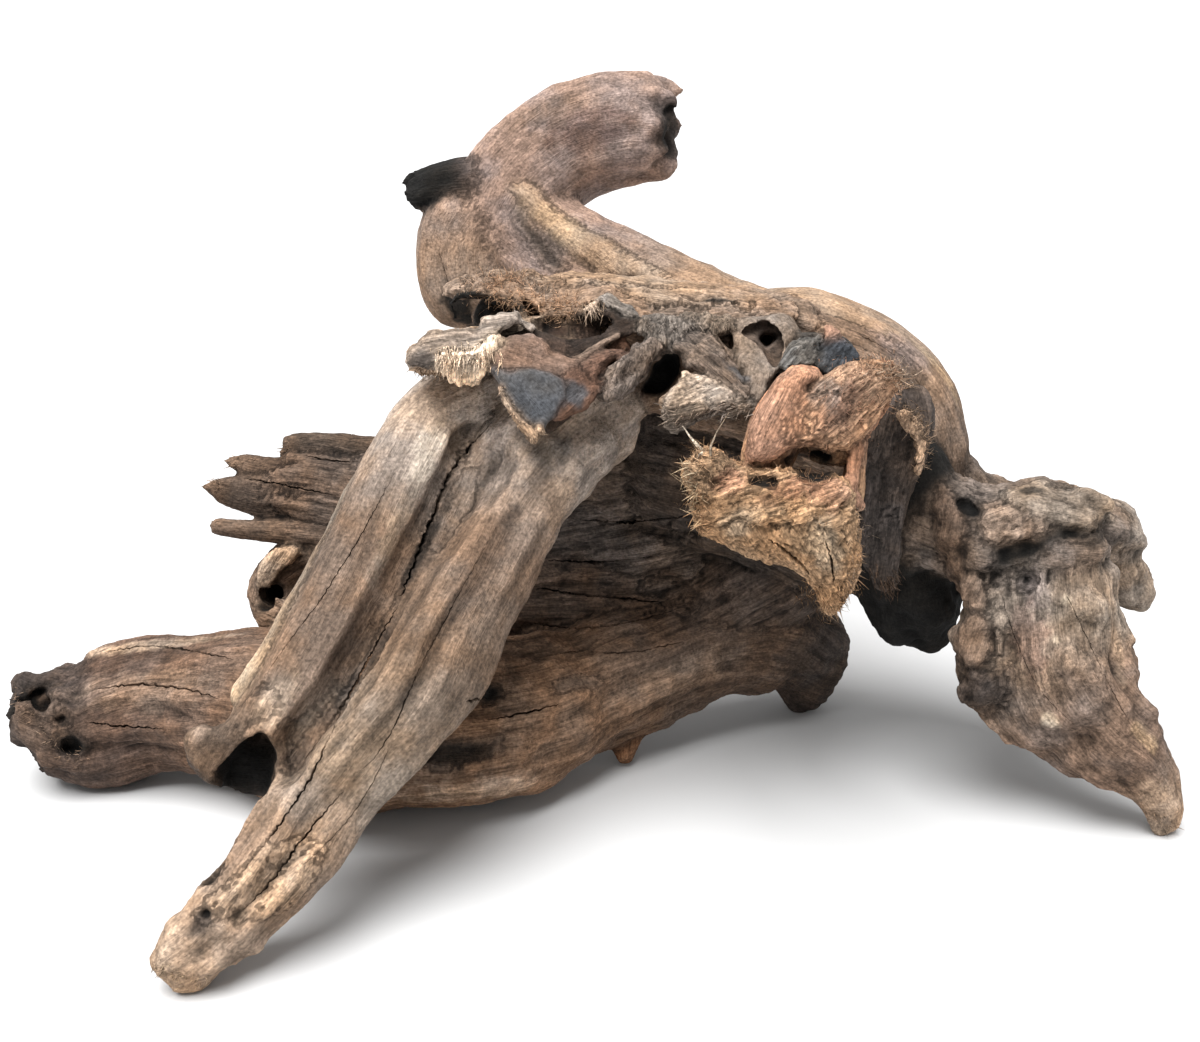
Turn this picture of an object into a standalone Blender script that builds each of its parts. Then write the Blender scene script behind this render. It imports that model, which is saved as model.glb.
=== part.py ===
"""A weathered piece of driftwood: one root crown with its limbs, all grown as one solid.

Every limb is a row of stations: a point on its middle line, in millimetres, and the
width and thickness of its section there. Width is measured square to the limb as it is seen from
the front, and thickness from front to back. The limbs are lofted, fused with a voxel remesh,
hollowed with Booleans, weathered, thinned to few faces and stood on the floor.
"""

import math

import bmesh
import bpy
import numpy as np
from mathutils import Vector, noise

MM = 0.001

# Driving sizes, in millimetres
VOXEL = 2.0
RING_STEP = 3.0
SIDES = 40
CREASE_ROUNDS = 4
GROOVE_REACH = 16.0
FOOT_CUT = 0.8
FOOT_HEIGHT = 24.0
TRIANGLES = 9500

FRONT = (0, -1, 0)
UP = (0, 0, 1)

# name: (which way the section's thickness points, seed, flute depth, ends, stations)
# A station is x, y, z, width, thickness. An end is round, broken or point.
LIMBS = {
    "core": (FRONT, 3, 2.0, ("round", "round"), [
        (-42, 24, 160, 20, 22),
        (-16, 26, 156, 30, 36),
        (16, 26, 150, 38, 50),
        (50, 26, 142, 46, 54),
        (82, 30, 130, 50, 52),
        (102, 34, 112, 40, 40),
    ]),
    "hump": (FRONT, 5, 1.4, ("round", "round"), [
        (40, 60, 148, 34, 40),
        (72, 50, 143, 44, 50),
        (94, 44, 130, 46, 50),
        (105, 42, 113, 40, 46),
        (106, 42, 90, 36, 40),
    ]),
    "belly": (FRONT, 7, 1.6, ("round", "round"), [
        (6, 46, 110, 40, 30),
        (34, 44, 104, 64, 36),
        (62, 42, 98, 62, 46),
        (90, 38, 84, 58, 48),
        (104, 36, 68, 44, 40),
    ]),
    "rear_limb": (FRONT, 11, 1.6, ("round", "broken"), [
        (84, 50, 134, 38, 44),
        (54, 74, 143, 36, 38),
        (24, 92, 150, 42, 36),
        (-10, 106, 160, 48, 34),
        (-34, 116, 172, 50, 34),
        (-31, 120, 187, 44, 32),
        (-16, 124, 202, 42, 30),
        (-3, 123, 208, 41, 30),
        (10, 121, 211, 40, 30),
        (23, 119, 212, 36, 28),
    ]),
    "rear_drop": (FRONT, 13, 1.4, ("round", "round"), [
        (-38, 118, 184, 46, 28),
        (-47, 114, 169, 46, 30),
        (-46, 110, 154, 44, 30),
        (-40, 106, 142, 34, 26),
    ]),
    "rear_stub": (FRONT, 17, 0.8, ("round", "broken"), [
        (-36, 120, 190, 26, 24),
        (-54, 119, 190, 20, 20),
        (-72, 118, 187, 14, 14),
    ]),
    "leg_right": (FRONT, 19, 2.0, ("round", "broken"), [
        (6, 20, 142, 40, 34),
        (-12, 0, 130, 42, 30),
        (-26, -14, 115, 36, 28),
        (-35, -28, 101, 35, 27),
        (-44, -44, 87, 35, 26),
        (-53, -58, 72, 35, 25),
        (-67, -69, 57, 34, 24),
        (-77, -74, 45, 32, 23),
        (-86, -84, 34, 31, 22),
        (-95, -92, 25, 27, 20),
        (-108, -100, 14, 23, 18),
        (-120, -104, 5, 17, 12),
    ]),
    "leg_left": (FRONT, 23, 1.6, ("round", "broken"), [
        (-30, 12, 146, 26, 28),
        (-49, -4, 136, 26, 28),
        (-57, -17, 125, 29, 27),
        (-67, -31, 105, 29, 26),
        (-77, -47, 87, 27, 25),
        (-88, -60, 70, 25, 24),
        (-97, -67, 58, 23, 22),
        (-102, -68, 53, 20, 20),
    ]),
    "leg_edge": (FRONT, 29, 0.8, ("round", "round"), [
        (-56, 4, 134, 14, 22),
        (-68, -12, 121, 12, 20),
        (-81, -30, 101, 10, 18),
        (-93, -48, 80, 10, 16),
        (-105, -60, 63, 10, 14),
    ]),
    "spur": (FRONT, 31, 0.6, ("round", "round"), [
        (-104, -62, 62, 12, 14),
        (-114, -66, 56, 11, 13),
        (-117, -67, 49, 11, 13),
        (-110, -66, 42, 8, 12),
        (-99, -64, 40, 8, 12),
        (-90, -66, 44, 9, 12),
    ]),
    "log": (FRONT, 37, 2.4, ("broken", "round"), [
        (-200, 10, 32, 16, 26),
        (-190, 10, 27, 30, 36),
        (-176, 12, 21, 44, 42),
        (-150, 15, 27, 44, 44),
        (-120, 6, 31, 52, 50),
        (-92, -5, 29, 60, 58),
        (-68, -4, 29, 58, 56),
        (-38, 2, 29, 56, 52),
        (-12, 19, 29, 46, 46),
        (14, 34, 33, 42, 42),
        (40, 48, 37, 40, 42),
        (64, 58, 34, 44, 42),
        (80, 66, 22, 38, 34),
        (87, 73, 17, 30, 28),
    ]),
    "log_riser": (FRONT, 41, 1.6, ("round", "round"), [
        (24, 46, 40, 34, 34),
        (48, 50, 54, 40, 38),
        (70, 48, 70, 46, 40),
        (84, 42, 90, 46, 40),
    ]),
    "log_back": (FRONT, 43, 1.4, ("round", "round"), [
        (-96, 40, 52, 40, 26),
        (-40, 46, 54, 44, 28),
        (10, 50, 54, 44, 28),
        (50, 54, 56, 40, 28),
    ]),
    "peg": (FRONT, 43, 0.4, ("round", "broken"), [
        (10, 34, 22, 17, 16),
        (10, 27, 14, 14, 13),
        (9, 21, 6, 9, 9),
        (9, 18, 3, 6, 6),
    ]),
    "plank": (FRONT, 47, 2.4, ("broken", "round"), [
        (-118, 54, 92, 18, 16),
        (-104, 54, 91, 28, 20),
        (-80, 54, 86, 40, 24),
        (-36, 52, 80, 60, 26),
        (0, 50, 86, 74, 28),
        (36, 46, 96, 70, 34),
    ]),
    "splinter_top": (FRONT, 53, 0.8, ("broken", "round"), [
        (-114, 64, 105, 9, 8),
        (-100, 63, 104, 13, 12),
        (-84, 61, 101, 18, 14),
        (-56, 57, 98, 24, 18),
    ]),
    "splinter_high": (FRONT, 59, 0.4, ("point", "round"), [
        (-134, 57, 102, 6, 6),
        (-118, 56, 99, 10, 9),
        (-96, 55, 94, 15, 12),
    ]),
    "splinter_mid": (FRONT, 61, 0.4, ("point", "round"), [
        (-141, 50, 95, 6, 6),
        (-124, 52, 91, 15, 10),
        (-100, 53, 88, 22, 14),
    ]),
    "splinter_low": (FRONT, 67, 0.4, ("broken", "round"), [
        (-137, 44, 82, 6, 6),
        (-112, 46, 79, 9, 9),
        (-80, 50, 75, 16, 14),
    ]),
    "knob": (FRONT, 71, 1.2, ("round", "round"), [
        (-116, 44, 43, 12, 12),
        (-118, 48, 53, 18, 15),
        (-110, 50, 64, 20, 16),
        (-92, 52, 72, 20, 18),
    ]),
    "knob_stem": (FRONT, 73, 1.0, ("round", "round"), [
        (-114, 42, 52, 14, 12),
        (-108, 36, 42, 16, 16),
        (-102, 28, 34, 18, 18),
    ]),
    "roof": (UP, 79, 1.2, ("broken", "round"), [
        (-49, 18, 170, 16, 6),
        (-36, 20, 171, 26, 9),
        (-20, 20, 170, 30, 12),
        (0, 20, 169, 32, 12),
        (20, 18, 167, 34, 12),
        (46, 20, 164, 40, 14),
        (70, 24, 158, 40, 18),
    ]),
    "nose": (FRONT, 83, 1.0, ("broken", "round"), [
        (-57, -18, 156, 8, 9),
        (-51, -16, 157, 14, 15),
        (-43, -13, 157, 18, 20),
        (-34, -9, 158, 20, 22),
        (-20, -2, 158, 20, 24),
        (0, 8, 156, 24, 26),
    ]),
    "slate": (FRONT, 89, 0.4, ("round", "point"), [
        (-14, -10, 160, 32, 16),
        (-16, -20, 154, 32, 10),
        (-15, -25, 146, 26, 7),
        (-16, -27, 140, 13, 5),
        (-17, -28, 135, 5, 4),
    ]),
    "spoke": (FRONT, 97, 0.4, ("round", "round"), [
        (-8, -20, 149, 14, 9),
        (0, -16, 154, 8, 8),
        (9, -8, 159, 8, 9),
    ]),
    "rough_rim": (FRONT, 101, 0.8, ("broken", "round"), [
        (0, -24, 147, 9, 8),
        (9, -18, 152, 11, 10),
        (17, -12, 157, 12, 12),
        (26, -4, 160, 14, 14),
    ]),
    "brow": (FRONT, 103, 1.2, ("round", "round"), [
        (24, -4, 160, 14, 12),
        (32, -11, 157, 13, 9),
        (39, -14, 152, 11, 9),
        (47, -14, 146, 12, 12),
    ]),
    "plate": (FRONT, 107, 0.6, ("broken", "round"), [
        (18, -23, 145, 13, 7),
        (26, -22, 146, 16, 8),
        (36, -19, 147, 14, 10),
        (48, -12, 148, 16, 16),
    ]),
    "patch": (FRONT, 109, 0.8, ("round", "round"), [
        (52, -4, 154, 18, 14),
        (66, -8, 156, 16, 12),
        (78, -6, 154, 12, 12),
    ]),
    "stub_neck": (FRONT, 113, 1.0, ("round", "round"), [
        (74, 14, 140, 34, 34),
        (67, -10, 141, 26, 26),
        (62, -26, 141, 22, 22),
        (58, -36, 138, 20, 18),
    ]),
    "stub_left": (FRONT, 127, 0.8, ("round", "round"), [
        (46, -44, 126, 18, 16),
        (49, -42, 135, 20, 17),
        (52, -40, 143, 20, 18),
        (58, -36, 151, 18, 16),
        (63, -32, 157, 13, 12),
    ]),
    "stub_right": (FRONT, 131, 0.8, ("round", "broken"), [
        (62, -44, 132, 20, 15),
        (68, -41, 141, 23, 16),
        (76, -37, 149, 20, 14),
        (84, -32, 157, 12, 10),
    ]),
    "stub_fin": (FRONT, 137, 0.4, ("round", "broken"), [
        (74, -40, 142, 9, 12),
        (74, -42, 131, 8, 12),
        (73, -44, 119, 10, 12),
    ]),
    "stub_chin": (FRONT, 139, 1.0, ("broken", "broken"), [
        (25, -50, 134, 13, 13),
        (35, -50, 127, 21, 17),
        (49, -50, 119, 27, 22),
        (62, -48, 112, 29, 24),
        (68, -46, 103, 22, 20),
        (70, -44, 95, 13, 14),
        (69, -44, 88, 6, 7),
    ]),
    "wing": (FRONT, 149, 1.0, ("round", "broken"), [
        (92, 8, 142, 24, 24),
        (93, -2, 132, 23, 18),
        (90, -7, 116, 18, 14),
        (89, -8, 98, 14, 12),
        (91, -8, 80, 10, 9),
    ]),
    "under_hump": (FRONT, 151, 1.0, ("round", "round"), [
        (97, 16, 124, 30, 30),
        (100, 22, 96, 38, 34),
        (106, 30, 69, 38, 36),
        (111, 36, 50, 30, 28),
        (111, 38, 40, 20, 20),
    ]),
    "right_slope": (FRONT, 157, 1.4, ("round", "round"), [
        (104, 42, 108, 34, 38),
        (122, 42, 92, 30, 34),
        (138, 34, 87, 28, 32),
        (160, 22, 88, 28, 30),
        (178, 22, 84, 24, 24),
    ]),
    "right_root": (FRONT, 163, 1.6, ("round", "round"), [
        (100, 22, 98, 34, 32),
        (118, 8, 94, 30, 28),
        (140, 4, 92, 38, 34),
        (162, 10, 90, 38, 34),
    ]),
    "right_leg": (FRONT, 167, 2.2, ("round", "broken"), [
        (142, 6, 94, 40, 34),
        (144, -2, 70, 50, 34),
        (147, -10, 52, 51, 32),
        (160, -17, 36, 40, 28),
        (174, -21, 25, 23, 22),
        (183, -23, 12, 15, 14),
        (186, -23, 2, 9, 9),
    ]),
    "right_corner": (FRONT, 173, 1.2, ("round", "broken"), [
        (124, -2, 76, 16, 22),
        (125, -6, 62, 18, 22),
        (126, -9, 49, 18, 20),
        (130, -10, 40, 16, 16),
    ]),
    "right_knob": (FRONT, 179, 1.2, ("round", "round"), [
        (164, 18, 91, 26, 26),
        (175, 25, 85, 19, 20),
        (179, 28, 75, 16, 18),
        (184, 28, 65, 16, 16),
        (187, 28, 56, 12, 12),
    ]),
}

# name: (which way the section's thickness points, stations) of the solids taken away
HOLLOWS = {
    "spur_mouth": (FRONT, [(-112, -100, 30, 12, 10), (-104, -76, 46, 15, 14), (-96, -60, 58, 9, 10)]),
    "knob_eye": (UP, [(-121, 20, 60, 7, 7), (-117, 44, 56, 8, 9), (-115, 56, 55, 4, 5)]),
    "under_roof": (FRONT, [(-62, 4, 164, 7, 16), (-40, 2, 164, 8, 16), (-24, 0, 163, 6, 10)]),
    "roof_recess": (FRONT, [(-20, -2, 165, 7, 10), (-6, -4, 164, 9, 12), (8, 0, 163, 6, 10)]),
    "brow_pit": (UP, [(16, -40, 148, 12, 12), (18, -10, 153, 13, 12), (20, 14, 156, 7, 7)]),
    "crown_pit": (UP, [(47, -30, 156, 11, 10), (50, -8, 159, 10, 9), (52, 10, 161, 6, 6)]),
    "stub_eye": (UP, [(60, -64, 132, 9, 4), (61, -46, 134, 11, 5), (62, -32, 137, 6, 3)]),
    "log_end": (FRONT, [(-204, 2, 30, 12, 9), (-188, 4, 30, 10, 9), (-178, 6, 30, 5, 6)]),
    "log_end_low": (FRONT, [(-200, 0, 14, 7, 9), (-182, 4, 14, 8, 8), (-172, 6, 14, 4, 5)]),
    "limb_end": (FRONT, [(44, 116, 208, 16, 10), (30, 117, 208, 14, 10), (20, 118, 207, 6, 6)]),
}

# name: (width, depth, points) of the long grooves worn between the grain's ridges
GROOVES = {
    "leg_split": (6, 7, [(-34, -22, 129), (-47, -36, 110), (-60, -52, 90), (-72, -66, 72), (-88, -76, 56)]),
    "leg_crack": (5, 3, [(-30, -30, 108), (-45, -54, 86), (-58, -70, 66), (-72, -82, 50), (-98, -104, 24)]),
    "log_line": (5, 3, [(-186, -8, 34), (-150, -6, 36), (-120, -20, 36), (-92, -30, 38)]),
    "log_line_low": (5, 3, [(-180, -8, 22), (-150, -4, 22), (-120, -20, 20)]),
    "plank_line": (5, 3, [(-40, 36, 66), (0, 34, 62), (40, 28, 60)]),
    "plank_line_high": (5, 3, [(-40, 38, 90), (0, 34, 86), (30, 28, 84)]),
}

# name: (x, y, radius) of the spots that the piece rests on
FEET = {
    "leg_tip": (-114, -103, 13),
    "right_tip": (186, -23, 9),
    "log_belly": (-76, -10, 26),
    "log_left": (-172, 12, 14),
    "log_right": (80, 68, 16),
}

# name: (middle, radius, length of a lump, height of a lump) where rot has eaten the wood unevenly
WEAR = {
    "everywhere": ((0, 0, 100), 1000, 26, 1.4),
    "crown": ((10, -4, 160), 70, 11, 3.0),
    "stub": ((56, -46, 124), 44, 10, 2.4),
    "right_leg": ((150, -2, 66), 74, 14, 4.2),
    "log_end": ((-192, 8, 24), 30, 9, 3.0),
    "log_face": ((0, 20, 30), 110, 16, 2.0),
    "under_hump": ((104, 26, 60), 50, 12, 2.4),
    "limb_end": ((24, 118, 208), 26, 10, 2.4),
    "leg_tip": ((-114, -100, 10), 26, 8, 2.4),
}


def spline(rows, count_per_span=24):
    """Points on a Catmull-Rom curve through the rows, close together."""
    rows = np.array(rows, float)
    padded = np.vstack([2 * rows[0] - rows[1], rows, 2 * rows[-1] - rows[-2]])
    found = []
    for a, b, c, d in zip(padded, padded[1:], padded[2:], padded[3:]):
        for t in np.arange(count_per_span) / count_per_span:
            found.append(0.5 * (
                2 * b + (c - a) * t + (2 * a - 5 * b + 4 * c - d) * t**2
                + (3 * b - a - 3 * c + d) * t**3
            ))
    found.append(rows[-1])
    return np.array(found)


def even_rows(stations, step):
    """Stations along the limb at an even step of arc length, and the length at each."""
    rows = spline(stations)
    run = np.concatenate([[0], np.cumsum(np.linalg.norm(np.diff(rows[:, :3], axis=0), axis=1))])
    count = max(4, int(run[-1] / step) + 1)
    at = np.linspace(0, run[-1], count)
    return np.stack([np.interp(at, run, rows[:, k]) for k in range(rows.shape[1])], 1), at


def unit(v):
    return v / np.linalg.norm(v, axis=-1, keepdims=True)


def flute(angle, along, depth, seed):
    """Height of the long ridges on a limb: rounded ridges with narrow grooves between them."""
    x, y = math.cos(angle) * 1.7, math.sin(angle) * 1.7
    broad = abs(noise.noise(Vector((x, y, along / 90 + seed * 7.3))))
    fine = abs(noise.noise(Vector((2.3 * x + 9, 2.3 * y, along / 60 + seed * 3.1))))
    return depth * (2.4 * broad + 1.1 * fine - 0.9)


def end_scale(kind, gap, half):
    """How wide a section is, as a share, at a distance from the limb's end."""
    reach = {"round": 1.0, "broken": 0.35, "point": 2.0}[kind] * half
    t = min(1.0, gap / reach)
    lowest = {"round": 0.15, "broken": 0.72, "point": 0.2}[kind]
    return max(lowest, math.sqrt(1 - (1 - t) ** 2) if kind == "round" else lowest + (1 - lowest) * t)


def loft(name, face, seed, depth, ends, stations, step=RING_STEP, sides=SIDES):
    """A closed tube mesh through the limb's stations, with flutes and its two kinds of end."""
    rows, along = even_rows(stations, step)
    middle, wide, thick = rows[:, :3], rows[:, 3], rows[:, 4]
    tangent = unit(np.gradient(middle, axis=0))
    across = unit(np.cross(tangent, np.array(face, float)))
    lift = np.cross(across, tangent)
    length = along[-1]
    work = bmesh.new()
    rings = []
    for i in range(len(rows)):
        half = min(wide[i], thick[i]) / 2
        share = (end_scale(ends[0], along[i], half) * end_scale(ends[1], length - along[i], half))
        ring = []
        for j in range(sides):
            angle = 2 * math.pi * j / sides
            bump = flute(angle, along[i], depth, seed) if depth else 0.0
            out = share * (across[i] * (wide[i] / 2 + bump) * math.cos(angle)
                           + lift[i] * (thick[i] / 2 + bump) * math.sin(angle))
            jag = 0.0
            for kind, gap, way in ((ends[0], along[i], -1), (ends[1], length - along[i], 1)):
                if kind == "broken" and gap < half:
                    spike = noise.noise(Vector((2.6 * math.cos(angle), 2.6 * math.sin(angle), seed)))
                    jag += way * spike * half * (1 - gap / half)
            ring.append(work.verts.new((middle[i] + out + tangent[i] * jag) * MM))
        rings.append(ring)
    for first, second in zip(rings, rings[1:]):
        for j in range(sides):
            k = (j + 1) % sides
            work.faces.new((first[j], first[k], second[k], second[j]))
    work.faces.new(rings[0][::-1])
    work.faces.new(rings[-1])
    bmesh.ops.recalc_face_normals(work, faces=work.faces)
    mesh = bpy.data.meshes.new(name)
    work.to_mesh(mesh)
    work.free()
    return mesh


def new_object(name, mesh, collection):
    obj = bpy.data.objects.new(name, mesh)
    collection.objects.link(obj)
    return obj


def settled(obj):
    """The object's mesh with its modifiers applied and cleared."""
    graph = bpy.context.evaluated_depsgraph_get()
    mesh = bpy.data.meshes.new_from_object(obj.evaluated_get(graph))
    obj.modifiers.clear()
    obj.data = mesh
    return mesh


def join_limbs(limbs, collection):
    """One object that holds every limb's tube."""
    work = bmesh.new()
    for name, (face, seed, depth, ends, stations) in limbs.items():
        mesh = loft(name, face, seed, depth, ends, stations)
        work.from_mesh(mesh)
        bpy.data.meshes.remove(mesh)
    joined = bpy.data.meshes.new("driftwood")
    work.to_mesh(joined)
    work.free()
    return new_object("driftwood", joined, collection)


def fuse(obj, voxel):
    """Makes the overlapping tubes one skin."""
    remesh = obj.modifiers.new("fuse", "REMESH")
    remesh.mode = "VOXEL"
    remesh.voxel_size = voxel * MM
    settled(obj)


def neighbours(mesh):
    """Each vertex's neighbour count, and a function that averages values over neighbours."""
    edges = np.empty(len(mesh.edges) * 2, np.int32)
    mesh.edges.foreach_get("vertices", edges)
    a, b = edges.reshape(-1, 2).T
    count = np.bincount(np.concatenate([a, b]), minlength=len(mesh.vertices)).astype(float)

    def mean(values):
        total = np.zeros_like(values)
        for k in range(values.shape[1]):
            total[:, k] = (np.bincount(a, values[b, k], len(count)) + np.bincount(b, values[a, k], len(count)))
        return total / count[:, None]

    return mean


def points_of(mesh):
    points = np.empty(len(mesh.vertices) * 3, np.float32)
    mesh.vertices.foreach_get("co", points)
    return points.reshape(-1, 3).astype(float)


def normals_of(mesh):
    normals = np.empty(len(mesh.vertices) * 3, np.float32)
    mesh.vertices.foreach_get("normal", normals)
    return normals.reshape(-1, 3).astype(float)


def put_points(mesh, points):
    mesh.vertices.foreach_set("co", points.astype(np.float32).ravel())
    mesh.update()


def fill_creases(mesh, rounds):
    """Wood grows into the fork between two limbs: hollow creases fill, ridges only soften a little."""
    mean = neighbours(mesh)
    points = points_of(mesh)
    for _ in range(rounds):
        put_points(mesh, points)
        pull = mean(points) - points
        hollow = np.einsum("ij,ij->i", pull, normals_of(mesh)) > 0
        points = points + pull * np.where(hollow, 0.7, 0.15)[:, None]
    put_points(mesh, points)


def press_grooves(mesh, grooves):
    """Sinks the skin under each groove's path. The path may float near the skin it marks."""
    points, normals = points_of(mesh) / MM, normals_of(mesh)
    sink = np.zeros(len(points))
    for width, depth, path in grooves.values():
        nearest = np.full(len(points), GROOVE_REACH)
        aside = np.full(len(points), np.inf)
        for spot in spline(path, 12):
            gap = points - spot
            reach = np.linalg.norm(gap, axis=1)
            lift = np.einsum("ij,ij->i", gap, normals)
            side = np.linalg.norm(gap - normals * lift[:, None], axis=1)
            aside = np.where(reach < nearest, side, aside)
            nearest = np.minimum(nearest, reach)
        sink = np.maximum(sink, depth * np.clip(1 - aside / width, 0, 1))
    put_points(mesh, (points - normals * sink[:, None]) * MM)


def carve(obj, hollows, cutters):
    for name, (face, stations) in hollows.items():
        mesh = loft(name, face, 1, 0.0, ("round", "round"), stations, sides=16)
        cutter = new_object(name, mesh, cutters)
        cutter.hide_render = True
        cutter.display_type = "WIRE"
    cut = obj.modifiers.new("hollows", "BOOLEAN")
    cut.operation = "DIFFERENCE"
    cut.operand_type = "COLLECTION"
    cut.collection = cutters
    settled(obj)


def weather(mesh, wear):
    """Uneven lumps and dips left by rot, each kind fading out from its middle."""
    points, normals = points_of(mesh) / MM, normals_of(mesh)
    push = np.zeros(len(points))
    for middle, radius, length, height in wear.values():
        fade = np.clip(2 - 2 * np.linalg.norm(points - middle, axis=1) / radius, 0, 1)
        for i in np.flatnonzero(fade):
            push[i] += fade[i] * height * noise.fractal(Vector(points[i] / length), 1.0, 2.1, 3)
    put_points(mesh, (points + normals * push[:, None]) * MM)


def thin_out(obj, triangles):
    settled(obj)
    obj.data.calc_loop_triangles()
    reduce = obj.modifiers.new("thin_out", "DECIMATE")
    reduce.ratio = min(1.0, triangles / len(obj.data.loop_triangles))
    reduce.use_collapse_triangulate = True
    settled(obj)


def plant_feet(mesh, feet):
    """Brings the lowest point of each foot to one level, a little under the floor."""
    points = points_of(mesh) / MM
    for x, y, radius in feet.values():
        gap = np.hypot(points[:, 0] - x, points[:, 1] - y)
        lowest = points[(gap < radius) & (points[:, 2] < FOOT_HEIGHT), 2].min()
        share = np.clip(2 - 2 * gap / radius, 0, 1) * np.clip(1 - (points[:, 2] - lowest) / FOOT_HEIGHT, 0, 1)
        points[:, 2] -= (lowest + FOOT_CUT) * share
    put_points(mesh, points * MM)


def stand(obj):
    """Cuts the feet flat at the floor and moves the origin under the middle of the piece."""
    work = bmesh.new()
    work.from_mesh(obj.data)
    cut = bmesh.ops.bisect_plane(
        work, geom=work.verts[:] + work.edges[:] + work.faces[:], plane_co=(0, 0, 0),
        plane_no=(0, 0, -1), clear_outer=True, dist=1e-7,
    )
    rim = [e for e in cut["geom_cut"] if isinstance(e, bmesh.types.BMEdge)]
    bmesh.ops.edgenet_fill(work, edges=rim)
    bmesh.ops.triangulate(work, faces=work.faces[:])
    bmesh.ops.recalc_face_normals(work, faces=work.faces[:])
    low = [min(v.co[k] for v in work.verts) for k in range(3)]
    high = [max(v.co[k] for v in work.verts) for k in range(3)]
    shift = Vector((-(low[0] + high[0]) / 2, -(low[1] + high[1]) / 2, -low[2]))
    bmesh.ops.translate(work, verts=work.verts, vec=shift)
    work.to_mesh(obj.data)
    work.free()
    obj["table_origin"] = shift


def wood():
    material = bpy.data.materials.new("weathered_wood")
    material.use_nodes = True
    shader = material.node_tree.nodes["Principled BSDF"]
    shader.inputs["Base Color"].default_value = (0.19, 0.13, 0.085, 1)
    shader.inputs["Roughness"].default_value = 0.85
    shader.inputs["Metallic"].default_value = 0.0
    return material


def main():
    for obj in list(bpy.data.objects):
        bpy.data.objects.remove(obj)
    parts = bpy.data.collections.new("driftwood")
    cutters = bpy.data.collections.new("hollows")
    for collection in (parts, cutters):
        bpy.context.scene.collection.children.link(collection)
    driftwood = join_limbs(LIMBS, parts)
    fuse(driftwood, VOXEL)
    fill_creases(driftwood.data, CREASE_ROUNDS)
    press_grooves(driftwood.data, GROOVES)
    weather(driftwood.data, WEAR)
    carve(driftwood, HOLLOWS, cutters)
    plant_feet(driftwood.data, FEET)
    fuse(driftwood, VOXEL)
    thin_out(driftwood, TRIANGLES)
    stand(driftwood)
    driftwood.data.materials.append(wood())


main()
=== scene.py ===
"""The looks of the piece of driftwood: its fine surface, cracks, torn fibres, colours and grain.

The limbs are the rows of stations that the solid is made of. Here they are fused at a finer size,
worn along the grain, cracked and coloured. Table sizes are in millimetres, in the table's own frame,
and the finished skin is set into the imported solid's box.
"""

import math
import random

import bmesh
import bpy
import numpy as np
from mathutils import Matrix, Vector, bvhtree, geometry, kdtree, noise


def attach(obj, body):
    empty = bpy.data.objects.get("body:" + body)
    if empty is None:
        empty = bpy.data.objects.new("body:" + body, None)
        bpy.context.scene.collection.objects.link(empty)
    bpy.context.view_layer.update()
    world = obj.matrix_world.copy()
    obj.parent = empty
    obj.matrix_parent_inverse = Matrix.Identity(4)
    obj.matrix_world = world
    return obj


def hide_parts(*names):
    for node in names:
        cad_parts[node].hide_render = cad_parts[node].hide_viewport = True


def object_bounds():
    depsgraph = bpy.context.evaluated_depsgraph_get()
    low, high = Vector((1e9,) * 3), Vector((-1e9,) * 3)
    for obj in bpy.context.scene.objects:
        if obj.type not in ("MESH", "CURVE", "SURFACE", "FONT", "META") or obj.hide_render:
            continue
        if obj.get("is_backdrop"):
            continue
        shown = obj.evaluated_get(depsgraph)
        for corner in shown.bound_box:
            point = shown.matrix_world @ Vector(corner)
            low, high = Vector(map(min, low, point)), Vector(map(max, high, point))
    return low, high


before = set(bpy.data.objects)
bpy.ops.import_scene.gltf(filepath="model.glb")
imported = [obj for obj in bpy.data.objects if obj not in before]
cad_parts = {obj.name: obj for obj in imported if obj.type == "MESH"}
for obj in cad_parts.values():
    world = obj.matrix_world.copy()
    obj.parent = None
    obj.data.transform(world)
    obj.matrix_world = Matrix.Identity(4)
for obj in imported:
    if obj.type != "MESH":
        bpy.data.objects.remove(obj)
CAD_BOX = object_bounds()

MM = 0.001

# Sizes of the skins, in millimetres
COARSE_VOXEL = 1.6
BODY_VOXEL = 1.02
CROWN_VOXEL = 0.67
CUTTER_VOXEL = 0.8
RING_STEP = 2.4
SIDES = 48
HOLLOW_STEP = 3.0
HOLLOW_SIDES = 24
CREASE_ROUNDS = 6
CREASE_FILL = 0.7
RIDGE_SOFTENING = 0.15
GROOVE_REACH = 16.0
FOOT_CUT = 0.8
FOOT_HEIGHT = 24.0

# How many upright slices each skin is cut into, and where its shading breaks
BODY_SLICES = 4
CROWN_SLICES = 2
SHARP_ANGLE = math.radians(75)

# The wood's own relief, in millimetres along the grain, across it and out of it
BROAD_RIDGE = (70, 8, 8)
MIDDLE_RIDGE = (42, 4.2, 4.2)
FINE_RIDGE = (16, 1.9, 1.9)
ROT_PIT = (13, 5.5, 5.5)
TORN_THREAD = (9, 1.5, 1.5)
ROT_LUMP = 7
ROT_PATCH = 21
ROT_NOISE = (1.0, 2.1, 3)
GRAIN_SHIFT = 211.0

# How high each kind of relief stands, and the level that it is counted from
BROAD_HEIGHT, BROAD_LEVEL = 1.9, 0.25
MIDDLE_HEIGHT, MIDDLE_LEVEL = 1.2, 0.3
FINE_HEIGHT = 0.35
LUMP_HEIGHT = 1.2
POCK_DEPTH = 2.0
POCK_WAVER = 0.35
TORN_HEIGHT, TORN_LEVEL = 1.5, 0.4
TORN_WAVER = 0.5

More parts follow.
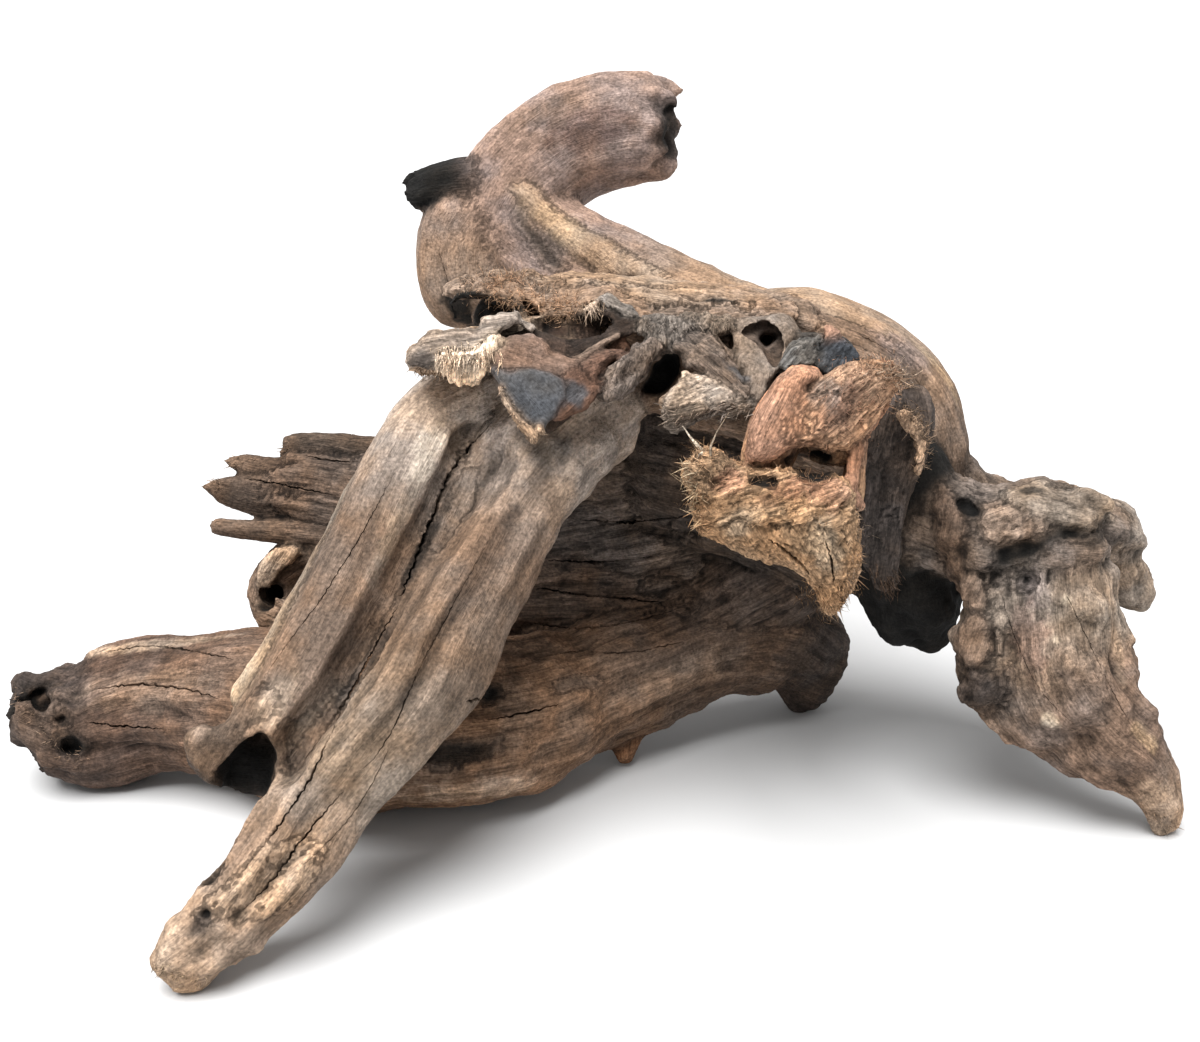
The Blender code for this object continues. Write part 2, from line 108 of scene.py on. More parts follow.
# Flutes: how many stand round a limb, how long they run, and how high the broad and fine ones are
FLUTE_ROUND = 1.7
BROAD_FLUTE, FINE_FLUTE = 90, 60
BROAD_SHARE, FINE_SHARE, FLUTE_LEVEL = 2.4, 1.1, 0.9

# How a limb ends: (length of the end in half thicknesses, least share of its size). A broken end
# also has spikes round its edge.
ENDS = {"round": (1.0, 0.15), "broken": (0.35, 0.72), "point": (2.0, 0.2)}
SPIKES_ROUND = 2.6

# Noise: the numbers that shuffle a lattice's corners, its height, and how it gets finer
SEED_STEP = 2654435
SHUFFLE = 1274126177
LOW_BITS = 0x7FFFFFFF
FIELD_GAIN = 1.6
FINER = 2.03
POCK_LEAST, POCK_SPREAD = 0.25, 0.3

# Outlines and lines on the photograph: steps and lumps in pixels, jumps in depth in millimetres
PIXEL_STEP = 3.0
PIXEL_EDGE = 1.5
PIXEL_LUMP = 7
FACE_JUMP = 16
LINE_JUMP = 12
PIT_SEED = 50
SLAB_LENGTH = 40.0

# A crack's wedge: how far it stands out of the skin, how it wavers, and the fewest steps it has
CRACK_STAND = 2.0
CRACK_WAVER = 0.35
CRACK_STEPS = 5
CRACK_FLARE = 1.5
CRACK_WIDTHS = (0.7, 1.25)
CRACK_ENDS, CRACK_SWELL = 0.25, 0.6

# Paint: rounds of smoothing with how deep a dip they show, the painted shade in dips and painted light on
# ridges, the edges of the stains and painted light, and the painted shade deep in cuts
TONE_ROUNDS = 8
SOFT_ROUNDS = 4
DIPS = ((2, 0.2), (6, 0.7), (20, 2.2))
DIP_PAINTED_SHADE = 0.75
MARK_LUMP = 4
MARK_WAVER = 0.35
MARK_EDGE = (0.5, 1.15)
DIP_LIMITS = (-1, 1.5)
TONE_LIMITS = (0.2, 1.5)
TONE_KEPT, TONE_SPREAD = 0.3, 0.7
CUT_PAINTED_SHADE, CUT_REACH, CUT_DARKEST = 1.3, 2, 0.04

# Torn threads: three-sided cones of a few rings
THREAD_RINGS = 4
THREAD_POINTS = 3 * THREAD_RINGS
THREAD_SEED = 5
THREAD_SUNK = 0.5
THREAD_TAPER = 0.85
THREAD_BEND = 0.4
THREAD_RISE = (0.1, 0.7)
THREAD_LIFT = 0.25
THREAD_LENGTHS = (0.4, 1.25)
THREAD_WIDTHS = (0.6, 1.4)
THREAD_SHADES = (0.55, 1.45)
THREAD_SIDE = (0.3, 0.5, 0.8)

# The studio: a pale floor in metres, a white surround and one wide soft light
FLOOR_WIDTH = 80
FLOOR_GREY = 0.55
FLOOR_ROUGHNESS = 0.9
SURROUND = 0.55
LIGHT_PLACE = (-0.25, -0.4, 1.2)
LIGHT_SPREAD = 45
LIGHT_POWER = 6.5

# The wood's surface
# Streaks are name: (length, width, detail) in millimetres, and mottles are name: (scale, detail).
# Shades are name: (low, high, darkest, lightest, whether a coat's own streakiness weakens them).
STREAKS = {"broad": (55, 6.0, 5), "lines": (34, 1.7, 3), "fine": (10, 0.7, 4), "hair": (5, 0.22, 2)}
MOTTLES = {"speck": (1000.0, 3), "patchy": (150.0, 5), "blotch": (60.0, 5)}
SHADES = {
    "broad": (0.32, 0.68, 0.62, 1.38, True),
    "crevice": (0.0, 0.03, 0.35, 1.0, True),
    "fine": (0.3, 0.7, 0.5, 1.5, True),
    "patchy": (0.35, 0.65, 0.8, 1.2, False),
    "speck": (0.3, 0.7, 0.62, 1.38, False),
}
ROUGHNESS = 0.88
SPECULAR = 0.2
WARM = (1.06, 0.99, 0.90)
COOL = (0.95, 1.0, 1.05)
BUMP = 0.0005

# The camera, in the table's frame, and the photograph's frame in pixels
CAMERA_AIM = (0, 0, 100)
CAMERA_TILT = math.radians(20)
CAMERA_DISTANCE = 480
LENS = 45
SENSOR = 36
PHOTO_WIDTH, PHOTO_HEIGHT = 1200, 1042
PIXELS_PER_MM = 3.1

FRONT = (0, -1, 0)
UP = (0, 0, 1)

# Limbs that belong to the torn crown's finer skin, where they back the torn faces from behind
CROWN_LIMBS = (
    "roof", "nose", "slate", "spoke", "rough_rim", "brow", "plate", "patch",
    "stub_left", "stub_right", "stub_fin", "stub_chin",
)
CROWN_SHRINK = 0.8
CROWN_SET_BACK = 5.0

# Hollows that are too shallow to be painted near black inside as shade
BOWLS = ("crown_pit_bowl", "limb_valley", "log_scar_long", "worm_channel")

# Thin limbs that join the body after the forks between the thick ones have filled
THIN_LIMBS = ("splinter_top", "splinter_high", "splinter_mid", "splinter_low", "peg", "rear_stub")

# name: (which way the section's thickness points, seed, flute depth, ends, stations)
# A station is x, y, z, width, thickness. An end is round, broken or point.
LIMBS = {
    "core": (FRONT, 3, 2.0, ("round", "round"), [
        (-42, 24, 160, 20, 22), (-16, 26, 156, 30, 36), (16, 26, 150, 38, 50), (50, 26, 142, 46, 54),
        (82, 30, 130, 50, 52), (102, 34, 112, 40, 40)]),
    "hump": (FRONT, 5, 1.4, ("round", "round"), [
        (40, 60, 148, 34, 40), (72, 50, 143, 44, 50), (94, 44, 130, 46, 50), (105, 42, 113, 40, 46),
        (106, 42, 90, 36, 40)]),
    "belly": (FRONT, 7, 1.6, ("round", "round"), [
        (6, 46, 110, 40, 30), (34, 44, 104, 64, 36), (62, 42, 98, 62, 46), (90, 38, 84, 58, 48),
        (104, 36, 68, 44, 40)]),
    "rear_limb": (FRONT, 11, 1.6, ("round", "broken"), [
        (84, 50, 134, 38, 44), (54, 74, 143, 36, 38), (24, 92, 150, 42, 36), (-10, 106, 160, 48, 34),
        (-34, 116, 172, 50, 34), (-31, 120, 187, 44, 32), (-16, 124, 202, 42, 30), (-3, 123, 208, 41, 30),
        (10, 121, 211, 40, 30), (23, 119, 212, 36, 28)]),
    "rear_drop": (FRONT, 13, 1.4, ("round", "round"), [
        (-38, 118, 184, 46, 28), (-47, 114, 169, 46, 30), (-46, 110, 154, 44, 30),
        (-40, 106, 142, 34, 26)]),
    "rear_stub": (FRONT, 17, 0.8, ("round", "broken"), [
        (-36, 120, 190, 26, 24), (-54, 119, 190, 20, 20), (-72, 118, 187, 14, 14)]),
    "leg_right": (FRONT, 19, 2.0, ("round", "broken"), [
        (6, 20, 142, 40, 34), (-12, 0, 130, 42, 30), (-26, -14, 115, 36, 28), (-35, -28, 101, 35, 27),
        (-44, -44, 87, 35, 26), (-53, -58, 72, 35, 25), (-67, -69, 57, 34, 24), (-77, -74, 45, 32, 23),
        (-86, -84, 34, 31, 22), (-95, -92, 25, 27, 20), (-108, -100, 14, 23, 18),
        (-120, -104, 5, 17, 12)]),
    "leg_left": (FRONT, 23, 1.6, ("round", "broken"), [
        (-30, 12, 146, 26, 28), (-49, -4, 136, 26, 28), (-57, -17, 125, 29, 27), (-67, -31, 105, 29, 26),
        (-77, -47, 87, 27, 25), (-88, -60, 70, 25, 24), (-97, -67, 58, 23, 22), (-102, -68, 53, 20, 20)]),
    "leg_edge": (FRONT, 29, 0.8, ("round", "round"), [
        (-56, 4, 134, 14, 22), (-68, -12, 121, 12, 20), (-81, -30, 101, 10, 18), (-93, -48, 80, 10, 16),
        (-105, -60, 63, 10, 14)]),
    "log": (FRONT, 37, 2.4, ("broken", "round"), [
        (-200, 10, 32, 16, 26), (-190, 10, 27, 30, 36), (-176, 12, 21, 44, 42), (-150, 15, 27, 44, 44),
        (-120, 6, 31, 52, 50), (-92, -5, 29, 60, 58), (-68, -4, 29, 58, 56), (-38, 2, 29, 56, 52),
        (-12, 19, 29, 46, 46), (14, 34, 33, 42, 42), (40, 48, 37, 40, 42), (64, 58, 34, 44, 42),
        (80, 66, 22, 38, 34), (87, 73, 17, 30, 28)]),
    "log_riser": (FRONT, 41, 1.6, ("round", "round"), [
        (24, 46, 40, 34, 34), (48, 50, 54, 40, 38), (70, 48, 70, 46, 40), (84, 42, 90, 46, 40)]),
    "log_back": (FRONT, 43, 1.4, ("round", "round"), [
        (-96, 40, 52, 40, 26), (-40, 46, 54, 44, 28), (10, 50, 54, 44, 28), (50, 54, 56, 40, 28)]),
    "peg": (FRONT, 43, 0.4, ("round", "broken"), [
        (10, 34, 22, 17, 16), (10, 27, 14, 14, 13), (9, 21, 6, 9, 9), (9, 18, 3, 6, 6)]),
    "plank": (FRONT, 47, 2.4, ("broken", "round"), [
        (-118, 54, 92, 18, 16), (-104, 54, 91, 28, 20), (-80, 54, 86, 40, 24), (-36, 52, 80, 60, 26),
        (0, 50, 86, 74, 28), (36, 46, 96, 70, 34)]),
    "splinter_top": (FRONT, 53, 0.8, ("broken", "round"), [
        (-114, 64, 105, 9, 8), (-100, 63, 104, 13, 12), (-84, 61, 101, 18, 14), (-56, 57, 98, 24, 18)]),
    "splinter_high": (FRONT, 59, 0.4, ("point", "round"), [
        (-134, 57, 102, 6, 6), (-118, 56, 99, 10, 9), (-96, 55, 94, 15, 12)]),
    "splinter_mid": (FRONT, 61, 0.4, ("point", "round"), [
        (-141, 50, 95, 6, 6), (-124, 52, 91, 15, 10), (-100, 53, 88, 22, 14)]),
    "splinter_low": (FRONT, 67, 0.4, ("broken", "round"), [
        (-137, 44, 82, 6, 6), (-112, 46, 79, 9, 9), (-80, 50, 75, 16, 14)]),
    "knob": (FRONT, 71, 1.2, ("round", "round"), [
        (-116, 44, 43, 12, 12), (-118, 48, 53, 18, 15), (-110, 50, 64, 20, 16), (-92, 52, 72, 20, 18)]),
    "knob_stem": (FRONT, 73, 1.0, ("round", "round"), [
        (-114, 42, 52, 14, 12), (-108, 36, 42, 16, 16), (-102, 28, 34, 18, 18)]),
    "roof": (UP, 79, 1.2, ("broken", "round"), [
        (-49, 18, 170, 16, 6), (-36, 20, 171, 26, 9), (-20, 20, 170, 30, 12), (0, 20, 169, 32, 12),
        (20, 18, 167, 34, 12), (46, 20, 164, 40, 14), (70, 24, 158, 40, 18)]),
    "nose": (FRONT, 83, 1.0, ("broken", "round"), [
        (-57, -18, 156, 8, 9), (-51, -16, 157, 14, 15), (-43, -13, 157, 18, 20), (-34, -9, 158, 20, 22),
        (-20, -2, 158, 20, 24), (0, 8, 156, 24, 26)]),
    "slate": (FRONT, 89, 0.4, ("round", "point"), [
        (-14, -10, 160, 32, 16), (-16, -20, 154, 32, 10), (-15, -25, 146, 26, 7), (-16, -27, 140, 13, 5),
        (-17, -28, 135, 5, 4)]),
    "spoke": (FRONT, 97, 0.4, ("round", "round"), [
        (-8, -20, 149, 14, 9), (0, -16, 154, 8, 8), (9, -8, 159, 8, 9)]),
    "rough_rim": (FRONT, 101, 0.8, ("broken", "round"), [
        (0, -24, 147, 9, 8), (9, -18, 152, 11, 10), (17, -12, 157, 12, 12), (26, -4, 160, 14, 14)]),
    "brow": (FRONT, 103, 1.2, ("round", "round"), [
        (24, -4, 160, 14, 12), (32, -11, 157, 13, 9), (39, -14, 152, 11, 9), (47, -14, 146, 12, 12)]),
    "plate": (FRONT, 107, 0.6, ("broken", "round"), [
        (18, -23, 145, 13, 7), (26, -22, 146, 16, 8), (36, -19, 147, 14, 10), (48, -12, 148, 16, 16)]),
    "patch": (FRONT, 109, 0.8, ("round", "round"), [
        (52, -4, 154, 18, 14), (66, -8, 156, 16, 12), (78, -6, 154, 12, 12)]),
    "stub_neck": (FRONT, 113, 1.0, ("round", "round"), [
        (74, 14, 140, 34, 34), (67, -10, 141, 26, 26), (62, -26, 141, 22, 22), (58, -36, 138, 20, 18)]),
    "stub_left": (FRONT, 127, 0.8, ("round", "round"), [
        (46, -44, 126, 18, 16), (49, -42, 135, 20, 17), (52, -40, 143, 20, 18), (58, -36, 151, 18, 16),
        (63, -32, 157, 13, 12)]),
    "stub_right": (FRONT, 131, 0.8, ("round", "broken"), [
        (62, -44, 132, 20, 15), (68, -41, 141, 23, 16), (76, -37, 149, 20, 14), (84, -32, 157, 12, 10)]),
    "stub_fin": (FRONT, 137, 0.4, ("round", "broken"), [
        (74, -40, 142, 9, 12), (74, -42, 131, 8, 12), (73, -44, 119, 10, 12)]),
    "stub_chin": (FRONT, 139, 1.0, ("broken", "broken"), [
        (25, -50, 134, 13, 13), (35, -50, 127, 21, 17), (49, -50, 119, 27, 22), (62, -48, 112, 29, 24),
        (68, -46, 103, 22, 20), (70, -44, 95, 13, 14), (69, -44, 88, 6, 7)]),
    "wing": (FRONT, 149, 1.0, ("round", "broken"), [
        (92, 8, 142, 24, 24), (93, -2, 132, 23, 18), (90, -7, 116, 18, 14), (89, -8, 98, 14, 12),
        (91, -8, 80, 10, 9)]),
    "under_hump": (FRONT, 151, 1.0, ("round", "round"), [
        (97, 16, 124, 30, 30), (100, 22, 96, 38, 34), (106, 30, 69, 38, 36), (111, 36, 50, 30, 28),
        (111, 38, 40, 20, 20)]),
    "right_slope": (FRONT, 157, 1.4, ("round", "round"), [
        (104, 42, 108, 34, 38), (122, 42, 92, 30, 34), (138, 34, 87, 28, 32), (160, 22, 88, 28, 30),
        (178, 22, 84, 24, 24)]),
    "right_root": (FRONT, 163, 1.6, ("round", "round"), [
        (100, 22, 98, 34, 32), (118, 8, 94, 30, 28), (140, 4, 92, 38, 34), (162, 10, 90, 38, 34)]),
    "right_leg": (FRONT, 167, 2.2, ("round", "broken"), [
        (142, 6, 94, 40, 34), (144, -2, 70, 50, 34), (147, -10, 52, 51, 32), (160, -17, 36, 40, 28),
        (174, -21, 25, 23, 22), (183, -23, 12, 15, 14), (186, -23, 2, 9, 9)]),
    "right_corner": (FRONT, 173, 1.2, ("round", "broken"), [
        (124, -2, 76, 16, 22), (125, -6, 62, 18, 22), (126, -9, 49, 18, 20), (130, -10, 40, 16, 16)]),
    "right_knob": (FRONT, 179, 1.2, ("round", "round"), [
        (164, 18, 91, 26, 26), (175, 25, 85, 19, 20), (179, 28, 75, 16, 18), (184, 28, 65, 16, 16),
        (187, 28, 56, 12, 12)]),
}

# name: (which way the section's thickness points, stations) of the solids taken away
HOLLOWS = {
    "spur_mouth": (FRONT, [(-112, -100, 30, 12, 10), (-104, -76, 46, 15, 14), (-96, -60, 58, 9, 10)]),
    "knob_eye": (UP, [(-121, 20, 60, 7, 7), (-117, 44, 56, 8, 9), (-115, 56, 55, 4, 5)]),
    "under_roof": (FRONT, [(-62, 4, 164, 7, 16), (-40, 2, 164, 8, 16), (-24, 0, 163, 6, 10)]),
    "roof_recess": (FRONT, [(-20, -2, 165, 7, 10), (-6, -4, 164, 9, 12), (8, 0, 163, 6, 10)]),
    "stub_eye": (UP, [(60, -64, 132, 9, 4), (61, -46, 134, 11, 5), (62, -32, 137, 6, 3)]),
    "log_end": (FRONT, [(-204, 2, 30, 12, 9), (-188, 4, 30, 10, 9), (-178, 6, 30, 5, 6)]),
    "log_end_low": (FRONT, [(-200, 0, 14, 7, 9), (-182, 4, 14, 8, 8), (-172, 6, 14, 4, 5)]),
    "limb_end": (FRONT, [(44, 116, 208, 16, 10), (30, 117, 208, 14, 10), (20, 118, 207, 6, 6)]),
}

# name: (width, depth, points) of the long grooves worn between the grain's ridges
GROOVES = {
    "leg_split": (9, 7, [(-34, -22, 129), (-47, -36, 110), (-60, -52, 90), (-72, -66, 72), (-88, -76, 56)]),
    "leg_crack": (5, 3, [(-30, -30, 108), (-45, -54, 86), (-58, -70, 66), (-72, -82, 50), (-98, -104, 24)]),
    "log_line": (5, 3, [(-186, -8, 34), (-150, -6, 36), (-120, -20, 36), (-92, -30, 38)]),
    "log_line_low": (5, 3, [(-180, -8, 22), (-150, -4, 22), (-120, -20, 20)]),
    "plank_line": (5, 3, [(-40, 36, 66), (0, 34, 62), (40, 28, 60)]),
    "plank_line_high": (5, 3, [(-40, 38, 90), (0, 34, 86), (30, 28, 84)]),
}

# name: (x, y, radius) of the spots that the piece rests on
FEET = {
    "leg_tip": (-114, -103, 13),
    "right_tip": (186, -23, 9),
    "log_belly": (-76, -10, 26),
    "log_left": (-172, 12, 14),
    "log_right": (80, 68, 16),
}

# name: (middle, radius, length of a lump, height of a lump) where rot has eaten the wood unevenly
WEAR = {
    "everywhere": ((0, 0, 100), 1000, 26, 1.4),
    "crown": ((10, -4, 160), 70, 11, 3.0),
    "stub": ((56, -46, 124), 44, 10, 2.4),
    "right_leg": ((150, -2, 66), 74, 14, 4.2),
    "log_end": ((-192, 8, 24), 30, 9, 3.0),
    "log_face": ((0, 20, 30), 110, 16, 2.0),
    "under_hump": ((104, 26, 60), 50, 12, 2.4),
    "limb_end": ((24, 118, 208), 26, 10, 2.4),
    "leg_tip": ((-114, -100, 10), 26, 8, 2.4),
}

# name: (how far the rim is rounded, rise towards the eye, depth behind, raggedness, grain angle,
# outline) of the torn faces round the crown. An outline's points are photograph pixels, each with its
# y in the table's frame, or without it where the face lies on the skin that is already there. The other
# sizes are in millimetres and degrees.
CROWN_FACES = {
    "roof_crust": (2, 1.5, 7, 0.9, 4, [
        (455, 292, 20), (464, 276, 26), (486, 272, 26), (500, 279, 24), (520, 269, 28), (536, 269, 28),
        (549, 279, 26), (575, 278, 26), (600, 280, 26), (630, 288, 26), (660, 296, 26), (700, 300, 26),
        (745, 304, 24), (780, 298, 22), (797, 304, 18), (800, 320, 10), (790, 316, 7), (778, 315, 6),
        (760, 316, 4), (746, 318, 3), (735, 322, 2), (715, 317, 3), (690, 319, 3), (668, 322, 1),
        (640, 319, 1), (625, 307, 3), (605, 300, 3), (590, 303, 3), (580, 318, 1), (562, 319, 1),
        (548, 317, 1), (535, 306, 3), (520, 299, 5), (505, 303, 5), (495, 297, 7), (480, 291, 10)]),
    "recess_left": (2, 0.5, 10, 0.5, 10, [
        (448, 305, 5), (457, 293, 8), (480, 291, 9), (500, 297, 8), (524, 304, 5), (530, 326, 2),
        (490, 331, -3), (456, 330, -3), (449, 318, 2)]),
    "recess_floor": (2, 0.5, 10, 0.6, 30, [
        (542, 318, 2), (560, 318, 1), (580, 318, 1), (600, 304, 1), (625, 310, -1), (640, 322, -5),
        (630, 336, -9), (612, 338, -10), (590, 350, -14), (574, 360, -17), (554, 356, -14),
        (544, 340, -8)]),
    "nose_top": (3, 3, 14, 0.7, 8, [
        (406, 360, -22), (408, 348, -22), (418, 342, -22), (428, 333, -21), (440, 330, -20),
        (458, 328, -18), (478, 327, -17), (484, 316, -14), (494, 313, -13), (508, 309, -10),
        (519, 309, -10), (521, 321, -12), (530, 325, -12), (542, 327, -12), (532, 332, -15),
        (519, 325, -16), (508, 328, -17), (498, 333, -18), (490, 343, -20), (480, 349, -21),
        (470, 355, -22), (448, 354, -24), (441, 360, -25), (441, 370, -25), (428, 371, -24),
        (415, 367, -23), (410, 375, -22)]),
    "nose_fringe": (1.5, 2, 9, 1.0, 86, [
        (440, 351, -26), (455, 351, -26), (470, 351, -25), (482, 344, -23), (490, 337, -21),
        (500, 331, -19), (506, 344, -20), (495, 352, -22), (489, 362, -23), (486, 372, -24),
        (482, 378, -24), (478, 385, -24), (472, 388, -24), (468, 383, -24), (460, 386, -24),
        (452, 381, -25), (448, 375, -25), (441, 375, -25)]),
    "slate_shoulder": (4, 2.5, 9, 0.5, -10, [
        (490, 363, -23), (493, 352, -22), (504, 340, -19), (512, 334, -17), (530, 334, -15),
        (545, 340, -14), (552, 352, -15), (566, 356, -17), (576, 358, -18), (580, 370, -19),
        (566, 378, -21), (545, 377, -23), (520, 377, -24), (506, 380, -25), (495, 376, -24)]),
    "slate_face": (2, 1.5, 8, 0.4, -50, [
        (489, 364, -24), (508, 370, -25), (530, 368, -25), (550, 372, -24), (562, 380, -24),
        (568, 392, -25), (564, 404, -27), (556, 414, -28), (548, 424, -29), (545, 430, -30),
        (534, 443, -31), (527, 438, -31), (519, 424, -30), (510, 408, -29), (503, 394, -28),
        (497, 382, -26), (490, 374, -24)]),
    "slate_lip": (1.2, 1.6, 5, 0.8, -55, [
        (494, 380, -27), (501, 384, -28), (506, 394, -29), (511, 404, -30), (518, 412, -31),
        (525, 420, -32), (533, 427, -32), (540, 422, -32), (545, 430, -32), (534, 445, -32),
        (525, 438, -32), (516, 425, -32), (506, 409, -31), (499, 396, -29)]),
    "slate_right": (3, 2, 8, 0.5, 40, [
        (560, 380, -22), (570, 364, -19), (580, 368, -19), (590, 378, -20), (599, 388, -22),
        (597, 398, -23), (588, 408, -25), (578, 414, -26), (566, 419, -27), (553, 423, -28),
        (557, 410, -27), (563, 400, -26), (566, 390, -24)]),
    "spoke_high": (2, 1.5, 6, 0.2, 28, [
        (572, 359, -18), (585, 350, -16), (600, 341, -13), (612, 334, -11), (621, 331, -10),
        (622, 338, -11), (608, 345, -13), (594, 353, -15), (582, 363, -18)]),
    "spoke_low": (3, 2, 6, 0.2, 22, [
        (578, 362, -18), (594, 353, -16), (608, 349, -14), (620, 349, -13), (629, 354, -13),
        (616, 359, -14), (606, 365, -16), (600, 374, -18), (599, 386, -21), (590, 380, -20),
        (583, 371, -19)]),
    "rim_blue": (1.5, 1.5, 7, 0.8, -25, [
        (596, 299, 0), (606, 292, 0), (614, 296, 0), (622, 304, -2), (632, 306, -3), (639, 315, -4),
        (634, 322, -4), (622, 317, -3), (612, 309, -2), (602, 303, -1)]),
    "hanging_splinter": (1, 1, 4, 0.4, 55, [
        (577, 322, -1), (581, 312, -1), (589, 304, -1), (597, 299, -1), (598, 306, -1), (590, 311, -1),
        (585, 320, -2), (580, 328, -2)]),
    "rough_chunk": (2.5, 3, 12, 1.0, 70, [
        (601, 391, -24), (602, 378, -23), (610, 366, -21), (620, 358, -19), (630, 353, -17),
        (637, 341, -14), (652, 339, -13), (661, 345, -13), (656, 358, -15), (649, 361, -17),
        (647, 372, -19), (639, 380, -21), (635, 392, -23), (618, 397, -24), (606, 405, -25),
        (603, 400, -25)]),
    "roof_fringe": (2, 2.5, 9, 1.3, 85, [
        (636, 317, -4), (655, 315, -3), (675, 315, -2), (685, 311, 0), (700, 313, 0), (715, 315, 1),
        (736, 318, 1), (734, 334, -4), (715, 336, -5), (700, 332, -5), (689, 331, -5), (681, 342, -8),
        (672, 352, -10), (660, 344, -10), (648, 337, -9), (636, 335, -8)]),
    "brow_bank": (3, 2.5, 10, 1.0, -42, [
        (672, 348, -10), (684, 330, -6), (700, 332, -6), (714, 338, -8), (722, 349, -11), (725, 358, -13),
        (733, 364, -14), (742, 376, -17), (750, 392, -20), (748, 401, -21), (738, 399, -21),
        (728, 392, -20), (716, 384, -19), (706, 377, -18), (694, 369, -16), (681, 367, -15),
        (684, 358, -12)]),
    "pit_frame": (4, 3, 14, 0.4, 80, [
        (732, 322, 1), (745, 317, 2), (762, 315, 3), (780, 313, 4), (793, 317, 4), (801, 330, 1),
        (799, 339, -1), (789, 345, -5), (787, 353, -9), (779, 371, -15), (771, 379, -17), (765, 396, -20),
        (760, 405, -21), (749, 397, -20), (745, 384, -17), (740, 366, -13), (733, 345, -6)]),
    "plate_top": (1.5, 1.5, 9, 0.7, 24, [
        (682, 369, -20), (691, 374, -20), (707, 375, -20), (720, 381, -20), (738, 393, -20),
        (758, 402, -19), (740, 404, -22), (722, 406, -25), (700, 406, -27), (680, 409, -28),
        (664, 410, -29), (663, 398, -27), (673, 388, -25), (679, 379, -22)]),
    "plate_edge": (1.5, 1.0, 8, 1.0, 14, [
        (663, 402, -29), (680, 407, -29), (700, 404, -28), (725, 403, -26), (758, 402, -20),
        (753, 412, -22), (735, 415, -24), (718, 417, -25), (700, 421, -27), (685, 430, -28),
        (676, 436, -29), (663, 427, -29), (661, 412, -30)]),
    "patch_strands": (2, 2, 8, 0.8, 50, [
        (779, 371, -18), (784, 352, -14), (796, 340, -11), (808, 337, -10), (823, 335, -10),
        (817, 348, -13), (821, 354, -15), (813, 367, -18), (800, 367, -18)]),
    "patch_black": (2, 2, 8, 0.6, 50, [
        (825, 341, -11), (840, 335, -10), (851, 349, -12), (863, 360, -14), (850, 369, -16),
        (838, 374, -18), (830, 380, -20), (819, 369, -18), (815, 356, -15)]),
    "patch_red": (1.5, 1.5, 6, 0.5, 50, [
        (823, 326, -8), (828, 323, -8), (835, 328, -8), (844, 337, -10), (838, 344, -11), (826, 344, -11)]),
    "stub_left_lobe": (8, 7, 12, 0.2, 62, [
        (745, 466, -46), (745, 450, -46), (748, 430, -46), (754, 412, -45), (762, 400, -44),
        (770, 386, -42), (780, 374, -40), (790, 368, -39), (802, 365, -38), (814, 367, -38),
        (822, 374, -39), (818, 381, -40), (808, 386, -41), (806, 392, -42), (812, 405, -44),
        (816, 425, -46), (806, 442, -47), (790, 449, -48), (778, 457, -48), (765, 465, -47)]),
    "stub_right_lobe": (7, 6, 12, 0.5, 40, [
        (790, 410, -44), (797, 398, -43), (808, 388, -41), (822, 376, -40), (835, 369, -39),
        (850, 361, -37), (866, 359, -36), (880, 361, -36), (894, 369, -36), (902, 379, -36),
        (896, 390, -37), (888, 403, -39), (878, 421, -41), (868, 433, -43), (860, 443, -44),
        (848, 451, -46), (836, 451, -47), (820, 448, -48), (804, 447, -48), (788, 444, -48),
        (782, 425, -46)]),
    "stub_web": (6, 6, 10, 0.3, 50, [
        (764, 424, -46), (780, 402, -44), (798, 392, -43), (815, 389, -42), (836, 386, -42),
        (858, 398, -41), (852, 430, -44), (822, 446, -47), (786, 448, -48), (766, 442, -47)]),
    "stub_strand": (2, 2, 6, 0.5, 86, [
        (850, 446, -45), (862, 440, -44), (866, 450, -44), (860, 470, -45), (858, 490, -46),
        (866, 506, -47), (860, 514, -48), (852, 505, -49), (846, 488, -48), (846, 466, -46)]),
    "stub_shelf": (7, 6, 14, 1.4, 20, [
        (685, 465, -50), (694, 454, -50), (706, 449, -50), (722, 452, -49), (738, 466, -48),
        (760, 468, -48), (782, 466, -49), (808, 470, -50), (834, 470, -50), (848, 480, -50),
        (856, 500, -51), (858, 520, -52), (840, 534, -56), (800, 530, -58), (760, 528, -58),
        (720, 530, -56), (697, 530, -54), (690, 516, -53), (694, 500, -52), (687, 484, -51)]),
    "shelf_corner": (4, 5, 10, 1.6, 160, [
        (684, 466, -52), (692, 454, -52), (704, 448, -52), (718, 450, -51), (730, 458, -50),
        (728, 474, -52), (716, 488, -54), (704, 504, -54), (694, 498, -53), (686, 484, -52)]),
    "stub_chin_face": (8, 6, 14, 0.9, -58, [
        (697, 524, -54), (740, 520, -57), (800, 520, -58), (858, 512, -52), (862, 540, -52),
        (861, 562, -52), (854, 586, -51), (842, 597, -50), (840, 608, -49), (830, 618, -48),
        (820, 604, -49), (814, 590, -50), (802, 577, -52), (782, 565, -53), (752, 557, -54),
        (720, 544, -54), (700, 534, -54)]),
    "wing_face": (3, 2, 8, 0.6, 84, [
        (862, 440, -14), (880, 412, -12), (893, 392, -10), (905, 398, -9), (912, 420, -8), (916, 450, -8),
        (905, 480, -9), (903, 520, -12), (900, 560, -14), (895, 590, -16), (888, 596, -16), (880, 585, -16),
        (872, 575, -15), (860, 560, -14), (855, 540, -14)]),
    "rusty_rim": (1.5, 1.5, 4, 1.0, 70, [
        (893, 406, -16), (899, 410, -17), (910, 412, -17), (922, 428, -16), (928, 446, -15),
        (924, 466, -15), (917, 480, -15), (913, 470, -16), (918, 452, -17), (912, 438, -18),
        (902, 428, -18), (896, 416, -17)]),
}

